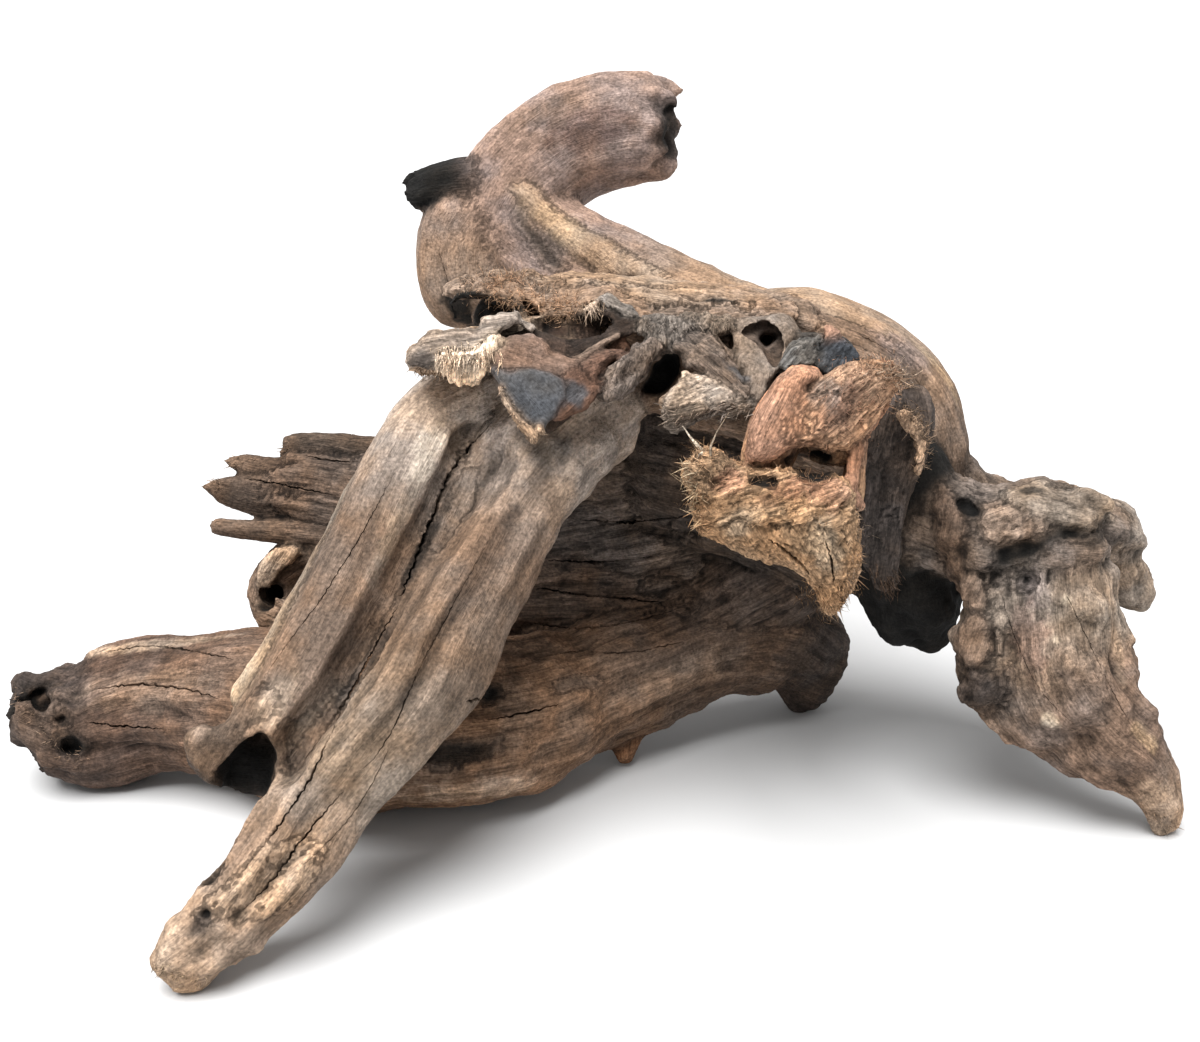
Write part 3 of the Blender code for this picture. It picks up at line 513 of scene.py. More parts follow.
# The same for the plates, ledges and lumps that lie on the body's limbs
BODY_FACES = {
    "spur_body": (5, 4, 18, 0.4, 60, [
        (181, 741, -71), (190, 728, -71), (205, 724, -71), (217, 728, -71), (230, 720, -70),
        (242, 702, -69), (262, 686, -68), (285, 696, -68), (290, 750, -70), (284, 780, -71),
        (272, 800, -72), (246, 797, -72), (226, 790, -72), (205, 782, -72), (190, 766, -72)]),
    "tip_ledge": (2, 1.0, 6, 0.5, 48, [
        (206, 900), (222, 890), (240, 872), (262, 850), (290, 842), (325, 846), (318, 872), (292, 904),
        (266, 919), (245, 912), (232, 916), (215, 912)]),
    "knob_strand_high": (2.5, 2.5, 9, 0.5, 60, [
        (257, 576, 38), (261, 560, 38), (275, 548, 38), (292, 545, 40), (306, 552, 42), (294, 562, 40),
        (280, 570, 38), (273, 584, 38), (270, 602, 38), (262, 606, 38), (257, 592, 38)]),
    "knob_strand_low": (2.5, 2.5, 9, 0.5, -20, [
        (253, 607, 36), (262, 597, 36), (276, 595, 36), (292, 604, 38), (290, 617, 38), (276, 628, 36),
        (262, 632, 36), (254, 621, 36)]),
    "right_cap": (2.5, 2.5, 8, 0.7, -10, [
        (1000, 492), (1040, 484), (1090, 487), (1118, 500), (1112, 518), (1085, 528), (1050, 522),
        (1020, 514)]),
    "right_ledge": (2, 2.5, 6, 0.8, 20, [
        (985, 508), (1005, 502), (1030, 510), (1052, 522), (1042, 537), (1015, 540), (1000, 544),
        (984, 540), (980, 522)]),
    "right_wall": (3, 1.5, 6, 0.8, 80, [
        (944, 486), (956, 500), (966, 530), (960, 560), (968, 588), (958, 600), (948, 570), (938, 540),
        (934, 508)]),
    "right_block_high": (1.5, 2.5, 6, 0.6, 70, [
        (957, 584), (973, 573), (986, 588), (984, 611), (962, 609)]),
    "right_block_low": (1.5, 2, 6, 0.6, 70, [
        (957, 626), (975, 614), (990, 626), (993, 650), (976, 668), (958, 660)]),
    "right_tooth": (1.5, 2, 8, 0.6, 60, [
        (956, 690), (966, 673), (986, 672), (1000, 688), (1004, 704), (985, 700), (972, 708), (958, 704)]),
    "limb_ridge": (4, 1.8, 6, 0.2, -40, [
        (512, 188), (530, 184), (550, 204), (578, 226), (604, 238), (642, 262), (670, 276), (640, 282),
        (600, 272), (570, 252), (545, 226), (524, 206)]),
}

# name: (rim, reach towards the eye, depth, raggedness, outline) of the hollows, whose deep ones are painted
# near black inside as shade
PITS = {
    "under_roof_left": (2, 12, 16, 0.8, [
        (447, 304, -1), (460, 295, 2), (480, 294, 3), (504, 301, 2), (524, 308, 0), (522, 318, -2),
        (500, 321, -2), (482, 328, -4), (458, 328, -5)]),
    "roof_slot": (1, 14, 12, 0.4, [(522, 302, -8), (533, 303, -8), (533, 321, -10), (525, 322, -10)]),
    "big_hole": (3, 20, 28, 0.8, [
        (663, 352, -14), (681, 350, -12), (683, 370, -16), (678, 384, -20), (664, 398, -22),
        (640, 400, -24), (636, 390, -22), (640, 382, -21), (648, 372, -19), (650, 362, -17),
        (657, 359, -15)]),
    "crown_pit_bowl": (5, 8, 5, 0.3, [
        (739, 334, -3), (745, 326, -1), (757, 321, 1), (772, 321, 2), (783, 330, 1), (786, 342, -3),
        (784, 355, -7), (778, 368, -12), (772, 374, -15), (769, 364, -13), (762, 350, -10), (752, 341, -7),
        (744, 337, -5)]),
    "crown_pit_core": (2, 14, 16, 0.3, [
        (757, 336, -4), (763, 332, -3), (772, 332, -2), (778, 336, -3), (774, 344, -5), (766, 350, -7),
        (759, 343, -6)]),
    "plate_gap": (1, 8, 5, 0.4, [
        (684, 368, -17), (694, 371, -18), (708, 379, -20), (722, 388, -21), (734, 397, -22),
        (728, 396, -22), (712, 387, -21), (698, 377, -19)]),
    "eye": (1.5, 12, 12, 0.3, [
        (780, 459, -52), (789, 451, -52), (804, 446, -52), (820, 448, -52), (829, 455, -52),
        (831, 464, -52), (815, 467, -52), (796, 468, -52), (783, 466, -52)]),
    "shelf_hollow": (4, 9, 5, 0.8, [
        (746, 474, -56), (764, 470, -56), (780, 476, -56), (784, 488, -58), (766, 492, -58),
        (748, 488, -57)]),
    "shelf_hole": (1, 12, 7, 0.2, [(778, 499, -60), (784, 497, -60), (786, 509, -60), (781, 514, -60)]),
    "shelf_hole_right": (1.5, 12, 6, 0.2, [
        (798, 496, -60), (805, 493, -60), (810, 499, -60), (803, 504, -60)]),
    "spur_mouth": (1.5, 12, 10, 0.3, [
        (248, 736, -71), (262, 730, -71), (270, 738, -71), (277, 757, -71), (275, 778, -72),
        (268, 800, -72), (256, 806, -72), (240, 803, -72), (224, 794, -72), (222, 780, -72),
        (226, 762, -72), (236, 748, -71)]),
    "right_hollow": (1.5, 6, 3, 0.9, [
        (954, 498), (968, 498), (984, 512), (978, 521), (964, 517), (956, 508)]),
    "ledge_gap": (1.5, 6, 2.0, 0.9, [
        (998, 548), (1020, 540), (1045, 541), (1062, 531), (1040, 553), (1012, 562), (996, 570)]),
    "cap_gap": (1, 6, 2.5, 0.5, [
        (1058, 528), (1085, 532), (1112, 522), (1108, 532), (1085, 540), (1062, 538)]),
    "right_chip": (0.8, 6, 3, 0.2, [(1025, 574), (1034, 577), (1030, 586), (1022, 582)]),
    "block_gap": (0.8, 6, 5, 0.3, [(962, 612), (985, 612), (990, 620), (975, 610), (962, 620)]),
    "tooth_gap": (0.8, 6, 5, 0.3, [(960, 664), (980, 668), (994, 654), (992, 664), (978, 674), (962, 672)]),
    "limb_valley": (4, 6, 1.6, 0.2, [
        (518, 206), (534, 228), (552, 248), (566, 268), (552, 270), (536, 252), (524, 234), (514, 216)]),
    "limb_break": (1.5, 6, 4, 0.4, [
        (660, 110), (672, 102), (680, 112), (676, 130), (680, 150), (668, 154), (662, 140), (665, 122)]),
    "log_bite_high": (1.5, 6, 7, 0.6, [(28, 690), (46, 687), (54, 702), (44, 714), (30, 706)]),
    "log_bite_low": (1.5, 6, 6, 0.6, [(58, 738), (74, 733), (84, 745), (78, 757), (62, 752)]),
    "log_bite_side": (1, 6, 3, 0.6, [(52, 716), (66, 712), (70, 724), (58, 730)]),
    "log_scar": (1, 6, 1.6, 0.5, [(477, 688), (492, 684), (499, 694), (488, 702), (479, 698)]),
    "log_scar_long": (1, 6, 1.3, 0.6, [
        (418, 754), (440, 743), (470, 745), (500, 738), (498, 748), (470, 758), (440, 766), (424, 764)]),
    "worm_channel": (0.8, 6, 1.5, 0.4, [
        (556, 684), (575, 678), (600, 680), (598, 685), (575, 684), (560, 690)]),
    "knot_hole": (1, 6, 3, 0.2, [(196, 912), (208, 906), (216, 914), (206, 922)]),
}

# Colours of the wood, linear red, green and blue
ASH = (0.215, 0.165, 0.125)
UMBER = (0.165, 0.112, 0.08)
CLAY = (0.24, 0.165, 0.118)
TAN = (0.30, 0.21, 0.145)
STRAW = (0.37, 0.265, 0.175)
SAND = (0.42, 0.305, 0.22)
CREAM = (0.55, 0.44, 0.33)
PALE_GREY = (0.29, 0.23, 0.185)
MAUVE = (0.25, 0.178, 0.148)
BARK = (0.10, 0.066, 0.047)
SOOT = (0.052, 0.040, 0.034)
PITCH = (0.010, 0.009, 0.008)
AMBER = (0.38, 0.205, 0.13)
HONEY = (0.36, 0.225, 0.13)
GOLD = (0.33, 0.205, 0.118)
RUST = (0.135, 0.074, 0.05)
SLATE_GREY = (0.072, 0.073, 0.078)
LEAD = (0.132, 0.10, 0.08)

# form: (colours along it from its first station to its last, ridge height, pit height, thread height,
# how streaky its colour is)
COATS = {
    "core": ([UMBER], 0.5, 0.5, 0.1, 0.8),
    "hump": ([TAN, TAN, CLAY, BARK], 0.15, 0.1, 0.1, 0.45),
    "belly": ([(0.065, 0.048, 0.038)], 0.9, 0.4, 0.2, 0.8),
    "rear_limb": ([TAN, TAN, CLAY, MAUVE, MAUVE, MAUVE, MAUVE], 0.12, 0.25, 0.05, 0.4),
    "rear_drop": ([MAUVE, CLAY, CLAY], 0.15, 0.2, 0.05, 0.4),
    "rear_stub": ([MAUVE, PITCH, PITCH], 0.3, 0.4, 0.1, 0.6),
    # Painted light and shade in part: the legs run light at the top and dark in the middle, as light falls on
    # them, over the wood's own colour
    "leg_right": ([
        (0.36, 0.29, 0.24), (0.33, 0.26, 0.21), UMBER,
        (0.145, 0.098, 0.068), ASH, CLAY, TAN], 0.36, 0.12, 0.2, 0.36),
    "leg_left": ([
        (0.36, 0.29, 0.24), (0.33, 0.26, 0.21), (0.145, 0.098, 0.07),
        (0.145, 0.098, 0.07), CLAY], 0.3, 0.12, 0.2, 0.36),
    "leg_edge": ([(0.38, 0.30, 0.225), ASH, STRAW], 0.3, 0.1, 0.2, 0.36),
    "log": ([
        SOOT, (0.10, 0.064, 0.048), (0.135, 0.084, 0.058), (0.175, 0.106, 0.067), (0.175, 0.106, 0.067),
        (0.175, 0.106, 0.067), BARK, BARK, SOOT], 0.6, 0.3, 0.2, 0.6),
    "log_riser": ([BARK, SOOT], 0.6, 0.3, 0.2, 0.7),
    "log_back": ([BARK], 0.8, 0.3, 0.2, 0.8),
    "peg": ([(0.16, 0.08, 0.042)], 0.3, 0.1, 0.1, 0.7),
    # Dark wood with painted shade: the plank sits deep in a recess that the light hardly reaches
    "plank": ([BARK, (0.095, 0.073, 0.06), (0.095, 0.073, 0.06)], 1.1, 0.1, 0.3, 0.8),
    "splinter_top": ([(0.08, 0.054, 0.038), (0.06, 0.042, 0.03)], 0.5, 0.0, 0.3, 0.9),
    "splinter_high": ([(0.115, 0.078, 0.056), (0.075, 0.05, 0.036)], 0.4, 0.0, 0.3, 0.9),
    "splinter_mid": ([(0.115, 0.078, 0.056), (0.075, 0.05, 0.036)], 0.4, 0.0, 0.3, 0.9),
    "splinter_low": ([(0.115, 0.078, 0.056), (0.075, 0.05, 0.036)], 0.3, 0.0, 0.3, 0.9),
    "knob": ([CLAY, BARK], 0.6, 0.8, 0.3, 0.8),
    "knob_stem": ([CLAY, BARK], 0.6, 0.6, 0.3, 0.8),
    "roof": ([CLAY, TAN, CLAY], 0.5, 0.8, 0.4, 0.6),
    "nose": ([SAND, SAND, TAN], 0.6, 0.4, 0.3, 0.6),
    "slate": ([(0.04, 0.027, 0.02)], 0.1, 0.1, 0.0, 0.15),
    "spoke": ([RUST], 0.2, 0.2, 0.1, 0.5),
    "rough_rim": ([LEAD], 0.3, 0.8, 0.3, 0.7),
    "brow": ([LEAD], 0.4, 0.6, 0.3, 0.7),
    "plate": ([TAN], 0.4, 0.3, 0.3, 0.7),
    "patch": ([(0.04, 0.036, 0.033)], 0.5, 0.8, 0.2, 0.7),
    "stub_neck": ([SOOT], 0.4, 0.2, 0.2, 0.7),
    "stub_left": ([HONEY, AMBER, AMBER], 0.25, 0.1, 0.3, 0.6),
    "stub_right": ([HONEY, AMBER, RUST], 0.3, 0.5, 0.6, 0.7),
    "stub_fin": ([AMBER, HONEY], 0.2, 0.2, 0.3, 0.6),
    "stub_chin": ([HONEY, HONEY, HONEY, TAN], 0.4, 0.5, 0.6, 0.8),
    "wing": ([SOOT], 0.6, 0.3, 0.2, 0.7),
    "under_hump": ([PITCH], 0.3, 0.3, 0.1, 0.5),
    "right_slope": ([LEAD], 0.4, 0.6, 0.3, 0.6),
    "right_root": ([LEAD], 0.4, 0.7, 0.3, 0.6),
    "right_leg": ([LEAD, ASH, (0.16, 0.113, 0.087), (0.135, 0.092, 0.07), TAN], 0.6, 0.3, 0.2, 0.6),
    "right_corner": ([ASH, BARK], 0.5, 0.8, 0.3, 0.6),
    "right_knob": ([PALE_GREY, ASH], 0.4, 0.4, 0.2, 0.5),
    "roof_crust": ([CLAY], 0.4, 0.8, 0.7, 0.6),
    # Painted shade: the recess's faces are near black, as the recess falls into shadow; this line and the
    # next
    "recess_left": ([PITCH], 0.3, 0.3, 0.1, 0.5),
    "recess_floor": ([(0.03, 0.02, 0.015)], 0.4, 0.4, 0.3, 0.6),
    "nose_top": ([(0.25, 0.195, 0.155)], 0.5, 0.4, 0.5, 0.8),
    "nose_fringe": ([(0.80, 0.60, 0.43)], 0.5, 0.1, 0.8, 1.0),
    "slate_shoulder": ([(0.19, 0.125, 0.095)], 0.2, 0.4, 0.3, 0.4),
    "slate_face": ([SLATE_GREY], 0.0, 0.0, 0.0, 0.15),
    "slate_lip": ([TAN], 0.3, 0.3, 0.6, 0.9),
    "slate_right": ([RUST], 0.2, 0.2, 0.2, 0.5),
    "spoke_high": ([UMBER], 0.3, 0.1, 0.2, 0.8),
    "spoke_low": ([RUST], 0.3, 0.1, 0.2, 0.8),
    "rim_blue": ([(0.19, 0.17, 0.155)], 0.3, 0.3, 0.7, 0.9),
    "hanging_splinter": ([SAND], 0.3, 0.0, 0.7, 1.0),
    "rough_chunk": ([LEAD], 0.5, 0.9, 0.5, 0.8),
    "roof_fringe": ([(0.15, 0.12, 0.097)], 0.4, 0.6, 1.0, 1.0),
    "brow_bank": ([LEAD], 0.4, 0.8, 0.6, 0.8),
    "pit_frame": ([(0.20, 0.155, 0.122)], 0.2, 0.2, 0.2, 0.4),
    "plate_top": ([(0.36, 0.285, 0.225)], 0.3, 0.2, 0.6, 0.9),
    "plate_edge": ([(0.14, 0.112, 0.09)], 0.8, 0.2, 0.8, 1.0),
    "patch_black": ([(0.036, 0.038, 0.042)], 0.5, 0.5, 0.5, 0.8),
    "patch_strands": ([(0.10, 0.09, 0.08)], 0.7, 0.3, 0.8, 1.0),
    "patch_red": ([(0.26, 0.16, 0.12)], 0.3, 0.4, 0.5, 0.6),
    "stub_web": ([(0.34, 0.19, 0.12)], 0.15, 0.2, 0.6, 0.8),
    "stub_left_lobe": ([AMBER], 0.15, 0.05, 0.35, 0.8),
    "stub_right_lobe": ([(0.31, 0.185, 0.115)], 0.1, 0.3, 0.9, 0.9),
    "stub_strand": ([AMBER], 0.2, 0.1, 0.3, 0.7),
    "stub_shelf": ([GOLD], 0.4, 0.9, 1.0, 0.9),
    "shelf_corner": ([GOLD], 0.4, 0.9, 1.2, 0.9),
    "stub_chin_face": ([GOLD], 0.4, 0.4, 0.9, 0.9),
    "wing_face": ([SOOT], 0.6, 0.3, 0.5, 0.8),
    "rusty_rim": ([(0.42, 0.29, 0.20)], 0.3, 0.8, 0.9, 0.9),
    "spur_body": ([(0.11, 0.075, 0.053)], 0.3, 0.5, 0.1, 0.4),
    "knob_strand_high": ([TAN], 0.4, 0.3, 0.6, 0.9),
    "knob_strand_low": ([CLAY], 0.4, 0.3, 0.6, 0.9),
    "tip_ledge": ([TAN], 0.5, 0.2, 0.4, 0.7),
    "right_cap": ([ASH], 0.3, 0.5, 0.3, 0.6),
    "right_ledge": ([CLAY], 0.3, 0.9, 0.5, 0.6),
    "right_wall": ([BARK], 0.3, 0.7, 0.3, 0.6),
    "right_block_high": ([UMBER], 0.3, 0.6, 0.3, 0.6),
    "right_block_low": ([UMBER], 0.3, 0.6, 0.3, 0.6),
    "right_tooth": ([SOOT], 0.3, 0.6, 0.3, 0.6),
    "limb_ridge": ([TAN], 0.2, 0.1, 0.1, 0.4),
    # Painted shade: the walls of the deeper hollows are near black
    "pits": ([PITCH], 0.2, 0.3, 0.1, 0.3),
    "bowls": ([(0.12, 0.086, 0.066)], 0.1, 0.1, 0.1, 0.4),
}

# name: (width, depth, photograph pixels along it) of the cracks, width and depth in millimetres
CRACKS = {
    "leg_split_top": (1.3, 5.0, [(489, 425), (471, 446), (453, 469), (440, 500), (424, 540), (400, 598)]),
    "leg_split_low": (0.9, 4.0, [(398, 606), (378, 640), (352, 690), (322, 735), (298, 770)]),
    "leg_second": (0.6, 2.2, [(493, 533), (468, 578), (438, 634), (421, 666), (385, 743), (352, 779)]),
    "leg_low": (0.8, 2.6, [(346, 788), (310, 830), (272, 880), (240, 914)]),
    "leg_crease": (0.6, 1.6, [(396, 470), (380, 500), (355, 545), (320, 600), (290, 640), (258, 686)]),
    "low_a": (0.9, 2.6, [(345, 700), (326, 745), (300, 796), (266, 842), (236, 880)]),
    "low_b": (0.6, 1.6, [(392, 744), (365, 796), (334, 836), (300, 868)]),
    "log_a": (1.0, 3.0, [(106, 652), (150, 646), (200, 652), (236, 660)]),
    "log_b": (1.1, 3.0, [(92, 690), (140, 684), (190, 690), (220, 700)]),
    "log_c": (0.9, 3.0, [(84, 722), (120, 726), (170, 730)]),
    "log_d": (1.1, 3.0, [(466, 702), (520, 690), (580, 672), (640, 668), (700, 650)]),
    "log_e": (1.0, 3.0, [(486, 720), (520, 714), (560, 704)]),
    "log_f": (0.9, 2.6, [(520, 662), (570, 652), (630, 652), (690, 640)]),
    "plank_a": (1.2, 4.0, [(534, 588), (580, 594), (620, 598), (664, 602)]),
    "plank_b": (1.0, 4.0, [(548, 560), (600, 562), (660, 556)]),
    "plank_c": (1.0, 4.0, [(520, 622), (580, 628), (640, 620), (690, 604)]),
    "plank_d": (1.0, 4.0, [(580, 520), (630, 522), (690, 516)]),
    "splinter_a": (0.8, 3.0, [(244, 478), (290, 486), (338, 496)]),
    "splinter_b": (0.8, 3.0, [(302, 455), (330, 460), (360, 462)]),
    "chin": (1.2, 4.0, [(769, 539), (782, 549), (796, 560), (806, 569), (812, 579)]),
    "chin_low": (0.8, 3.0, [(826, 540), (832, 565), (834, 590)]),
    "right_a": (0.5, 1.6, [(1064, 590), (1088, 640), (1112, 690), (1136, 734)]),
    "right_c": (0.5, 1.6, [(1000, 590), (1016, 640), (1040, 690), (1080, 730)]),
    "limb_a": (0.7, 2.0, [(438, 250), (446, 276), (452, 300)]),
    "hump_a": (0.7, 2.0, [(850, 330), (890, 352), (925, 390)]),
}

# name: (photograph pixel, radius along the grain and across it in millimetres, colour, strength) of the
# stains, and of the painted shade and painted highlights laid the same way
STAINS_AND_PAINTED_LIGHT = {
    "blue_grey": ((552, 451), (8, 6), (0.11, 0.095, 0.084), 0.8),
    "slate_blue": ((575, 393), (5, 4.4), SLATE_GREY, 0.9),
    # Painted highlight: a light stripe along the top of the left log, where the light falls
    "log_left_top": ((150, 645), (34, 3), SAND, 0.75),
    "slate_red": ((594, 384), (3.5, 3.5), RUST, 0.8),
    "knot": ((515, 510), (4, 3), SOOT, 0.7),
    "limb_dark": ((425, 190), (9, 9), PITCH, 0.9),
    "limb_shadow": ((545, 110), (16, 5), BARK, 0.6),
    "limb_pale": ((560, 225), (18, 6), STRAW, 0.6),
    "limb_red": ((590, 130), (18, 9), (0.14, 0.088, 0.074), 0.7),
    "limb_end": ((670, 130), (5, 14), SOOT, 0.85),
    "hump_mauve": ((900, 350), (14, 8), MAUVE, 0.7),
    "hump_rim": ((948, 380), (24, 3), STRAW, 0.7),
    "log_pale": ((150, 690), (34, 8), CLAY, 0.5),
    "log_blotch_a": ((450, 755), (18, 5), PITCH, 0.8),
    "log_blotch_b": ((486, 692), (5, 3), PITCH, 0.85),
    "log_warm": ((680, 680), (30, 8), CLAY, 0.6),
    "log_dark_end": ((815, 660), (18, 16), SOOT, 0.8),
    "log_end_dark": ((40, 715), (12, 14), BARK, 0.7),
    "right_pale": ((1050, 720), (4, 3), CREAM, 0.8),
    "right_chip_a": ((1066, 600), (2, 1.4), CREAM, 0.8),
    "right_chip_b": ((1056, 640), (1.6, 1.2), CREAM, 0.8),
    "right_edge": ((1112, 610), (26, 2.5), SAND, 0.6),
    "right_edge_low": ((1148, 740), (20, 2.5), STRAW, 0.7),
    "right_shade": ((1076, 560), (12, 6), (0.14, 0.105, 0.085), 0.6),
    "right_lilac": ((1035, 590), (9, 5), (0.20, 0.155, 0.135), 0.6),
    "right_black": ((1030, 490), (5, 3), PITCH, 0.8),
    "right_tip_pale": ((1162, 800), (12, 6), (0.36, 0.27, 0.205), 0.7),
    "chin_pale": ((826, 545), (12, 6), (0.50, 0.385, 0.275), 0.75),
    "shelf_red": ((835, 490), (8, 6), AMBER, 0.7),
    "tip_dark": ((200, 925), (5, 3), SOOT, 0.7),
    # Painted shade in the spur's cavity
    "spur_dark": ((240, 790), (10, 4), SOOT, 0.8),
    "nose_dark": ((420, 362), (5, 4), SOOT, 0.7),
    "spur_pale": ((196, 735), (5, 3), CLAY, 0.8),
    # Painted shadow under the spur: this line and the next
    "spur_under": ((226, 786), (16, 5), PITCH, 0.9),
    "spur_left_under": ((192, 768), (8, 5), SOOT, 0.8),
    # Painted light: the log's lower face made lighter, standing in for light thrown up from the floor
    "log_low": ((480, 792), (34, 6), (0.37, 0.26, 0.185), 0.8),
    # Painted shade in the leg's valley under the overhanging lobe: this line and the next
    "valley": ((425, 545), (26, 2.2), PITCH, 0.75),
    "valley_low": ((368, 660), (18, 2.0), SOOT, 0.7),
    "lobe_crest": ((400, 520), (26, 3.5), ASH, 0.7),
    # Painted highlight on the lit top of the leg's left lobe, then painted shade in the leg's middle
    "leg_top_painted_highlight": ((428, 452), (12, 5), (0.48, 0.385, 0.30), 0.75),
    "leg_mid_dark": ((482, 565), (22, 6), (0.12, 0.082, 0.06), 0.75),
    "leg_left_low": ((275, 700), (10, 5), SAND, 0.75),
    # Painted highlight on the leg's top
    "leg_top_pale": ((495, 440), (9, 5), (0.42, 0.34, 0.29), 0.7),
    "leg_low_light": ((330, 800), (30, 4), TAN, 0.6),
    "shelf_orange_a": ((730, 480), (6, 4), AMBER, 0.8),
    "shelf_orange_b": ((800, 485), (9, 4), (0.26, 0.13, 0.075), 0.8),
    "shelf_straw": ((745, 520), (14, 4), STRAW, 0.6),
    "shelf_straw_b": ((800, 540), (12, 4), STRAW, 0.5),
    "shelf_brown": ((770, 500), (6, 3), (0.12, 0.07, 0.045), 0.7),
    "lobe_brown": ((845, 405), (9, 5), (0.16, 0.09, 0.06), 0.7),
    "lobe_grey": ((825, 395), (6, 5), (0.15, 0.12, 0.10), 0.6),
    "right_rose": ((1030, 640), (14, 7), (0.17, 0.11, 0.085), 0.7),
    "right_flow": ((1090, 700), (24, 4), (0.11, 0.078, 0.06), 0.7),
    "right_under": ((1000, 690), (10, 6), SOOT, 0.7),
    "hump_slit": ((716, 300), (7, 1.2), PITCH, 0.9),
    # Painted shadow under the roof's edge: this line and the next two
    "under_roof_left": ((458, 305), (10, 7), PITCH, 0.97),
    "under_roof_low": ((468, 320), (8, 5), PITCH, 0.95),
    "under_roof_dark": ((482, 312), (13, 6), PITCH, 0.97),
    # Painted shade in the recess behind the crown: this line and the next
    "recess_dark": ((592, 328), (9, 7), (0.03, 0.02, 0.015), 0.9),
    "recess_dark_low": ((560, 345), (4, 4), (0.07, 0.045, 0.034), 0.7),
    "recess_red": ((575, 335), (10, 6), RUST, 0.2),
    "brow_blue": ((738, 372), (6, 2), SLATE_GREY, 0.8),
}

# name: (how many, length, thickness, way they point in the picture in degrees, spread of that, curl,
# scatter in pixels, colour, photograph pixels along the row) of the torn threads of wood
THREADS = {
    "roof_curls": (560, 2.4, 0.44, 100, 90, 2.0, 7, (0.46, 0.29, 0.19), [
        (462, 284), (490, 286), (510, 284), (532, 292), (552, 302), (577, 310)]),
    "roof_curls_low": (260, 2.4, 0.42, -90, 60, 1.6, 4, (0.44, 0.29, 0.19), [
        (492, 296), (512, 302), (540, 310), (572, 316)]),
    "roof_edge": (160, 2.4, 0.4, 70, 60, 0.8, 4, TAN, [(457, 294), (486, 279), (521, 275), (560, 284)]),
    "roof_drops": (70, 4.4, 0.5, -84, 14, 0.3, 4, SAND, [(584, 308), (600, 304)]),
    "roof_fringe": (330, 2.4, 0.4, -86, 24, 0.4, 5, PALE_GREY, [
        (640, 322), (668, 322), (700, 320), (732, 322)]),
    "nose_threads": (300, 5.0, 0.45, -92, 8, 0.2, 7, (0.72, 0.54, 0.39), [
        (443, 354), (465, 354), (486, 350)]),
    "nose_lip": (90, 2.6, 0.4, -100, 26, 0.3, 3, TAN, [(414, 370), (426, 372), (442, 374)]),
    "slate_edge": (90, 2.2, 0.4, -70, 40, 0.4, 2, SAND, [
        (500, 386), (509, 406), (520, 424), (534, 438), (543, 428)]),
    "rough_threads": (200, 2.6, 0.4, -110, 40, 0.6, 7, LEAD, [(608, 386), (622, 368), (645, 348)]),
    "plate_low": (200, 3.6, 0.45, -160, 20, 0.3, 4, PALE_GREY, [
        (668, 414), (690, 420), (720, 412), (750, 406)]),
    "corner": (560, 1.6, 0.5, 165, 60, 2.4, 8, (0.44, 0.27, 0.155), [
        (690, 464), (702, 455), (716, 460), (704, 478), (697, 496), (706, 522)]),
    "corner_ends": (130, 2.6, 0.5, 185, 40, 1.2, 4, (0.60, 0.44, 0.28), [
        (688, 462), (690, 482), (695, 500), (697, 524)]),
    "shelf_top": (340, 1.6, 0.42, 150, 80, 1.8, 8, (0.42, 0.25, 0.15), [
        (724, 466), (745, 472), (790, 474), (840, 480)]),
    "shelf_body": (500, 1.9, 0.34, 170, 60, 1.4, 15, GOLD, [(724, 498), (770, 510), (830, 500)]),
    "lobe_tip": (560, 1.7, 0.42, 40, 60, 1.6, 7, (0.46, 0.28, 0.18), [
        (856, 368), (874, 366), (890, 372), (897, 382), (886, 400)]),
    "lobe_spikes": (110, 4.0, 0.5, 0, 50, 0.7, 5, SAND, [(872, 366), (894, 374), (900, 384)]),
    "lobe_body": (700, 1.6, 0.3, 34, 60, 1.4, 13, AMBER, [(828, 384), (860, 390), (850, 420), (812, 430)]),
    "chin_tip": (260, 3.0, 0.4, -75, 28, 0.8, 6, HONEY, [
        (803, 582), (818, 600), (829, 612), (840, 598), (853, 580)]),
    "chin_side": (160, 2.0, 0.38, -60, 50, 0.8, 3, TAN, [(846, 590), (857, 560), (860, 530), (858, 508)]),
    "rim_threads": (420, 2.0, 0.38, 20, 80, 1.4, 4, TAN, [(897, 410), (914, 420), (924, 442), (918, 474)]),
    "wing_foot": (80, 4.6, 0.5, -80, 20, 0.3, 4, BARK, [(874, 574), (888, 588), (896, 570)]),
    "sliver": (4, 6.0, 1.5, 132, 12, 1.3, 2, CREAM, [(708, 452), (702, 449)]),
    "eye_sliver": (2, 7.0, 1.0, 0, 4, 0.2, 1, TAN, [(800, 464), (803, 464)]),
    "log_bites": (110, 2.6, 0.45, 190, 40, 0.4, 5, CLAY, [(14, 692), (32, 714), (60, 744), (86, 768)]),
    "splinter_ends": (60, 4.0, 0.45, 182, 12, 0.2, 3, CLAY, [(218, 488), (236, 464), (292, 447)]),
    "leg_tip": (90, 2.4, 0.4, 210, 40, 0.4, 4, STRAW, [(157, 962), (166, 974), (186, 979), (210, 982)]),
    "right_tip": (40, 2.4, 0.4, -60, 40, 0.4, 3, TAN, [(1152, 814), (1164, 825), (1174, 823)]),
}


def spline(rows, count_per_span=24):
    """Points on a smooth curve through the rows, close together."""
    rows = np.array(rows, float)
    padded = np.vstack([2 * rows[0] - rows[1], rows, 2 * rows[-1] - rows[-2]])
    found = []
    for a, b, c, d in zip(padded, padded[1:], padded[2:], padded[3:]):
        for t in np.arange(count_per_span) / count_per_span:
            found.append(0.5 * (
                2 * b + (c - a) * t + (2 * a - 5 * b + 4 * c - d) * t**2
                + (3 * b - a - 3 * c + d) * t**3
            ))
    found.append(rows[-1])
    return np.array(found)


